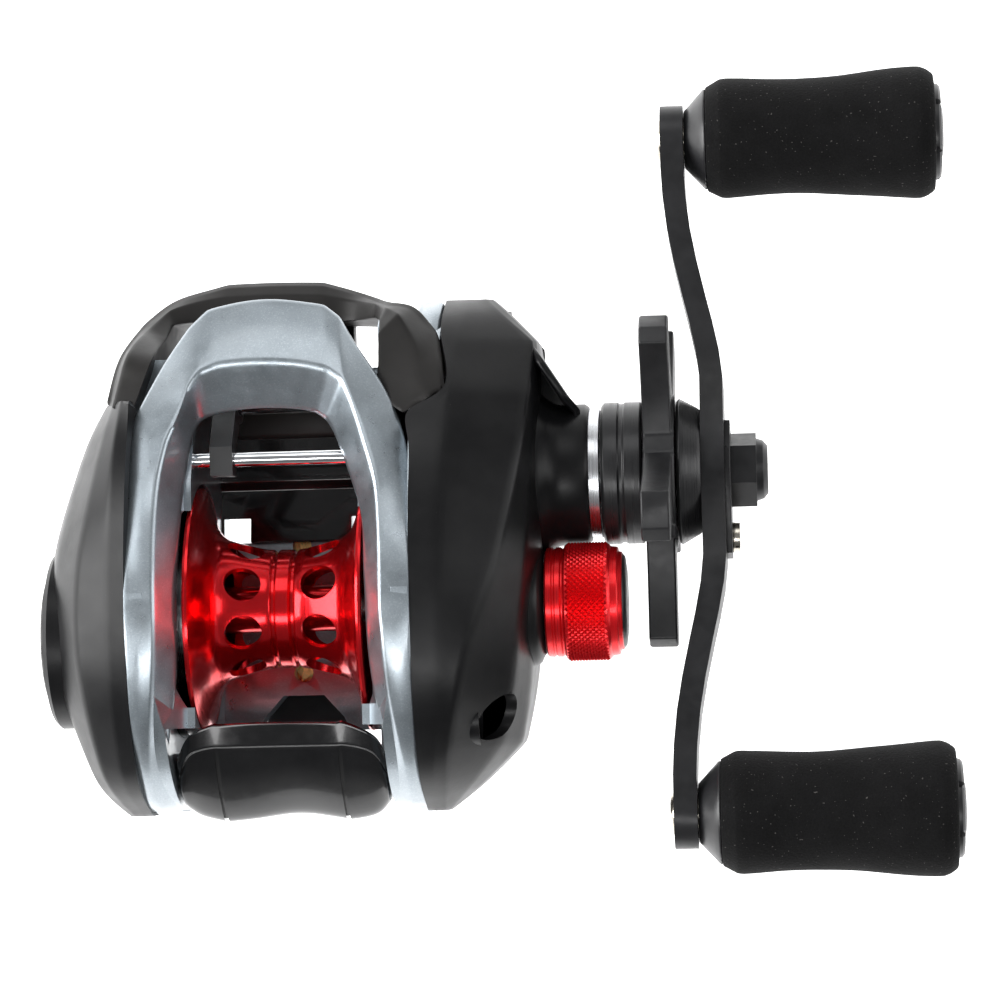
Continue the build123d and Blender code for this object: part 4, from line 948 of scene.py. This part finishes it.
def make_tension(m):
    x0, step, rows, around = 37.5, 0.4, 14, 120  # the knurl's first ring, pitch and counts
    outside = [(34.8, 5.5), (34.8, 7.0), (35.0, 7.25), (35.7, 7.3), (35.85, 7.12), (36.05, 7.12), (36.2, 7.3)]
    outside += [(36.8, 7.3), (37.0, 7.12), (37.15, 7.12), (37.3, 7.5)]
    beyond = [(43.3, 7.5), (43.45, 7.3), (43.7, 7.25), (44.3, 7.2), (44.45, 7.0), (44.45, 6.6), (44.9, 6.5)]
    beyond += [(45.0, 6.3), (45.0, 0.3), (38.6, 0.3), (38.6, 5.5)]
    profile = outside + [(x0 + step * i, KNURL_RADIUS) for i in range(rows + 1)] + beyond
    first = len(outside)
    verts = []
    for i, (x, r) in enumerate(profile):
        row = i - first
        for k in range(around):
            angle = 2 * math.pi * k / around
            lift = 0.0
            if 0 < row < rows:
                lift = KNURL_PEAK if (row + k) % 2 == 0 else KNURL_PIT
            verts.append((x, SPOOL_Y + (r + lift) * math.cos(angle), SPOOL_Z + (r + lift) * math.sin(angle)))
    faces = []
    for i in range(len(profile)):
        for k in range(around):
            a, b = i * around + k, i * around + (k + 1) % around
            j = (i + 1) % len(profile)
            c, d = j * around + (k + 1) % around, j * around + k
            if not first <= i < first + rows:
                faces.append((a, b, c, d))
            elif (i - first + k) % 2 == 0:
                faces += [(a, b, d), (b, c, d)]
            else:
                faces += [(a, b, c), (a, c, d)]
    ring = make_mesh("tension_body", verts, faces)
    tidy(ring)
    pin_line = [(34.4, 0.0), (34.4, 2.3), (38.7, 2.4), (38.7, 0.0)]
    pin = revolved("tension_pin", pin_line, SPOOL_Y, SPOOL_Z, 48, False)
    obj = join("tension_knob_shell", [ring, pin])
    done(obj, 26, "tension", m["knob_red"], ["tension_knob"])
    cap = revolved("tension_cap", [
        (44.7, 0.0), (44.7, 6.2), (45.0, 6.25), (45.3, 5.9), (45.5, 4.6), (45.6, 2.6), (45.6, 0.0),
    ], SPOOL_Y, SPOOL_Z, 96, False)
    done(cap, 40, "tension", m["core"])


# ------------------------------------------------------------------ springs


def coil(name, node, axis, wire, turns):
    """A compression spring with closed ends, filling its node's box along the axis."""
    lo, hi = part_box(node)
    lo, hi, mid = lo / MM, hi / MM, (lo + hi) / 2 / MM
    length = hi[axis] - lo[axis]
    radius = (hi.y - lo.y) / 2 - wire
    a, b = [k for k in range(3) if k != axis]
    steps, around = 26 * turns, 10
    closing = 0.7  # how far the end coils close up
    verts = []
    for i in range(steps + 1):
        s = i / steps
        height = wire + (length - 2 * wire) * (s - closing * math.sin(2 * math.pi * s) / (2 * math.pi))
        angle = 2 * math.pi * turns * s
        for k in range(around):
            turn = 2 * math.pi * k / around
            r = radius + wire * math.cos(turn)
            point = [0.0, 0.0, 0.0]
            point[axis] = lo[axis] + height + wire * math.sin(turn)
            point[a] = mid[a] + r * math.cos(angle)
            point[b] = mid[b] + r * math.sin(angle)
            verts.append(tuple(point))
    faces = grid_faces(steps + 1, around, False, True)
    faces += [tuple(range(around)), tuple(reversed(range(steps * around, (steps + 1) * around)))]
    obj = make_mesh(name, verts, faces)
    tidy(obj)
    return obj


def make_springs(m):
    plan = (
        ("clutch_spring", 2, 0.3, 3, "thumb_press", 3.0, False),
        ("yoke_spring_upper", 0, 0.25, 5, "yoke_slide", 1.5, True),
        ("yoke_spring_lower", 0, 0.25, 5, "yoke_slide", 1.5, True),
    )
    for node, axis, wire, turns, joint, travel, far in plan:
        obj = coil(f"{node}_wire", node, axis, wire, turns)
        done(obj, 50, "housing", m["steel"], [node])
        lo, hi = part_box(node)
        anchor = centre(node)
        anchor[axis] = hi[axis] if far else lo[axis]
        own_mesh(obj)


# ------------------------------------------------------------------ knobs

GRIP = [
    (57.3, 6.9), (57.35, 7.1), (58.3, 7.62), (59.2, 8.1), (60.0, 8.2), (62.5, 8.1), (65.5, 7.94),
    (69.0, 7.84), (72.0, 7.9), (75.0, 8.08), (78.0, 8.36), (80.5, 8.6), (83.0, 8.82), (85.2, 8.96),
    (86.2, 8.94), (87.1, 8.6), (87.8, 8.1), (88.05, 7.8), (88.1, 7.3),
]


def make_grip(m, end):
    node = f"knob_grip_{end}"
    y, z = axis_of(node)
    rng = np.random.default_rng(7 if end == "front" else 11)
    phases = rng.uniform(0, 2 * math.pi, 8)
    bore = 6.5  # no dents inside this radius

    def dent(x, angle, depth, place, length, side):
        return -depth * math.exp(-((x - place) / length) ** 2) * max(0.0, math.cos(angle - side)) ** 2

    def feel(x, angle, r):
        if r < bore:
            return 0.0
        flat = dent(x, angle, 0.22, 76.0, 5.5, math.pi / 2)
        other = dent(x, angle, 0.18, 66.0, 5.0, math.pi * 1.2)
        wave = 0.035 * math.sin(3 * angle + phases[0] + x * 0.35)
        wave += 0.025 * math.sin(5 * angle + phases[1] - x * 0.6)
        return flat + other + wave - 0.05
    fine = []
    for (xa, ra), (xb, rb) in zip(GRIP, GRIP[1:]):
        for k in range(3):
            t = k / 3
            fine.append((xa + (xb - xa) * t, ra + (rb - ra) * t))
    fine.append(GRIP[-1])
    profile = fine + [(88.0, 6.7), (86.5, 6.7), (86.5, 4.7), (57.35, 4.7)]
    obj = revolved(f"{node}_foam", profile, y, z, 120, True, feel)
    modifier(obj, "SUBSURF", levels=1, render_levels=1)
    apply_all(obj)
    done(obj, 50, f"knob_{end}", m["eva"], [node])


def make_knob_cap(m, end):
    node = f"knob_cap_{end}"
    y, z = axis_of(node)
    body = revolved(f"{node}_disc", [
        (86.6, 0.0), (86.6, 6.5), (88.0, 6.55), (88.6, 6.45), (88.9, 6.1), (88.95, 5.6), (88.7, 5.2),
        (88.7, 4.2), (89.0, 3.9), (89.25, 3.0), (89.3, 1.5), (89.3, 0.0),
    ], y, z, 96, False)
    slots = []
    for k in range(6):
        bm = bmesh.new()
        bmesh.ops.create_cube(bm, size=1.0)
        bm.transform(Matrix.Diagonal((1.4 * MM, 2.2 * MM, 0.9 * MM, 1)))
        turn = Matrix.Rotation(math.radians(60 * k), 4, "X")
        place = Matrix.Translation((88.9 * MM, y * MM, z * MM)) @ turn
        bm.transform(place @ Matrix.Translation((0, 5.6 * MM, 0)))
        slots.append(built("slot", bm))
    cut(body, [join("slots", slots)])
    done(body, 32, f"knob_{end}", m["core"], [node])


# ------------------------------------------------------------------ CAD nodes that stay


def dress(node, material, width):
    """Gives a CAD node its material, and soft edges through modifiers."""
    obj = NODES[node]
    paint(obj, material)
    if width:
        modifier(obj, "WELD", merge_threshold=2e-6)
        modifier(obj, "BEVEL", width=width * MM, segments=2, limit_method="ANGLE",
                 angle_limit=math.radians(28.0), use_clamp_overlap=True)
        modifier(obj, "WEIGHTED_NORMAL", keep_sharp=True, weight=60)
    for p in obj.data.polygons:
        p.use_smooth = bool(width) or p.use_smooth


def dress_all(m):
    plan = (
        ("silver", 0.22, "frame"),
        ("gloss", 0.12, "set_plate"),
        ("dark_steel", 0.1, "magnet_ring", "cover_screw_rear", "cover_screw_front"),
        ("steel", 0.06, "spool_bearing_left", "spool_bearing_right", "shaft_end_bearing", "drive_bearing",
         "pressure_plate", "drag_sleeve"),
        ("steel", 0.08, "one_way_bearing"),
        ("washer", 0.12, "boss_washer"),
        ("chrome", 0.06, "guide_pillar"),
        ("gloss", 0.06, "worm_tube"),
        ("foot", 0.25, "reel_foot"),
        ("brass", 0.1, "foot_rivet_rear", "foot_rivet_front"),
        ("white_gear", 0.08, "clutch_yoke"),
        ("brass", 0.0, "pinion", "main_gear"),
        ("shaft", 0.06, "spool_shaft", "worm_shaft"),
        ("steel", 0.05, "cross_pin", "guide_pawl"),
        ("washer", 0.08, "brake_rotor"),
        ("drive", 0.08, "drive_shaft"),
        ("white_gear", 0.0, "level_drive_gear", "worm_gear"),
        ("carbon", 0.05, "drag_washer_inner", "drag_washer_outer"),
        ("collar", 0.08, "drag_collar"),
        ("star", 0.45, "star_wheel"),
        ("brass", 0.08, "drag_nut"),
        ("collar", 0.12, "star_spacer"),
        ("arm", 0.6, "handle_arm"),
        ("arm", 0.3, "handle_nut"),
        ("arm", 0.15, "nut_retainer"),
        ("screw", 0.15, "retainer_screw"),
        ("screw", 0.12, "knob_spindle_front", "knob_spindle_rear"),
        ("core", 0.15, "knob_core_front", "knob_core_rear"),
        ("black_moulded", 0.2, "line_guide"),
        ("ceramic", 0.15, "guide_eye"),
    )
    for key, width, *nodes in plan:
        for node in nodes:
            dress(node, m[key], width)


# ------------------------------------------------------------------ floor and light


def make_stage():
    z = -46
    corners = [(-900, -900, z), (960, -900, z), (960, 930, z), (-900, 930, z)]
    floor = make_mesh("floor", corners, [(0, 1, 2, 3)])
    n = Nodes("pale_floor")
    n.colour(n.mix(n.spread(n.noise(6.0, 2.0)), (0.88, 0.88, 0.88), (0.90, 0.90, 0.90)))
    n.set(Roughness=0.7, Specular_IOR_Level=0.2, Emission_Color=(1.0, 1.0, 1.0), Emission_Strength=0.8)
    paint(floor, n.mat)


def soft_box(name, place, size, power):
    """A rectangular light that points at the middle of the reel."""
    aim = Vector((0.028, 0.012, 0.02))
    data = bpy.data.lights.new(name, "AREA")
    data.shape = "RECTANGLE"
    data.size, data.size_y = size
    data.energy = power
    obj = bpy.data.objects.new(name, data)
    bpy.context.scene.collection.objects.link(obj)
    obj.location = place
    obj.rotation_mode = "QUATERNION"
    obj.rotation_quaternion = (aim - Vector(place)).to_track_quat("-Z", "Y")


def make_light():
    bpy.context.scene.view_settings.view_transform = "Standard"
    world = bpy.data.worlds.new("studio")
    bpy.context.scene.world = world
    world.use_nodes = True
    tree = world.node_tree
    back = tree.nodes["Background"]
    coord = tree.nodes.new("ShaderNodeTexCoord")
    split = tree.nodes.new("ShaderNodeSeparateXYZ")
    ramp = tree.nodes.new("ShaderNodeValToRGB")
    tree.links.new(coord.outputs["Generated"], split.inputs["Vector"])
    tree.links.new(split.outputs["Z"], ramp.inputs["Fac"])
    stops = ramp.color_ramp.elements
    stops[0].position, stops[0].color = 0.10, (1.0, 1.0, 1.0, 1)
    stops[1].position, stops[1].color = 0.80, (0.27, 0.275, 0.28, 1)
    middle = stops.new(0.40)
    middle.color = (0.33, 0.335, 0.34, 1)
    rear = tree.nodes.new("ShaderNodeMapRange")
    for key, number in (("From Min", -0.9), ("From Max", 0.1), ("To Min", 0.45), ("To Max", 1.0)):
        rear.inputs[key].default_value = number
    tree.links.new(split.outputs["Y"], rear.inputs["Value"])
    rays = tree.nodes.new("ShaderNodeLightPath")
    level = tree.nodes.new("ShaderNodeMath")
    level.operation = "MAXIMUM"
    tree.links.new(rear.outputs["Result"], level.inputs[0])
    tree.links.new(rays.outputs["Is Camera Ray"], level.inputs[1])
    tree.links.new(ramp.outputs["Color"], back.inputs["Color"])
    tree.links.new(level.outputs["Value"], back.inputs["Strength"])
    soft_box("left_box", (-0.80, 0.10, 0.50), (0.7, 0.9), 17.5)
    soft_box("front_box", (0.02, 0.85, 0.80), (0.9, 0.5), 2.6)
    soft_box("top_strip", (0.03, -0.27, 0.72), (0.55, 0.14), 2.0)
    soft_box("right_box", (0.90, 0.10, 0.42), (0.35, 0.9), 2.8)


# ------------------------------------------------------------------ assembly

make_camera()
MATERIALS = build_materials()
dress_all(MATERIALS)
make_hood(MATERIALS)
make_gear_cover(MATERIALS)
make_palm_cover(MATERIALS)
make_dial(MATERIALS)
make_nose(MATERIALS)
make_deck_shade_sheet(MATERIALS)
make_thumb(MATERIALS)
make_spool(MATERIALS)
make_tension(MATERIALS)
make_springs(MATERIALS)
for END in ("front", "rear"):
    make_grip(MATERIALS, END)
    make_knob_cap(MATERIALS, END)
make_stage()
make_light()
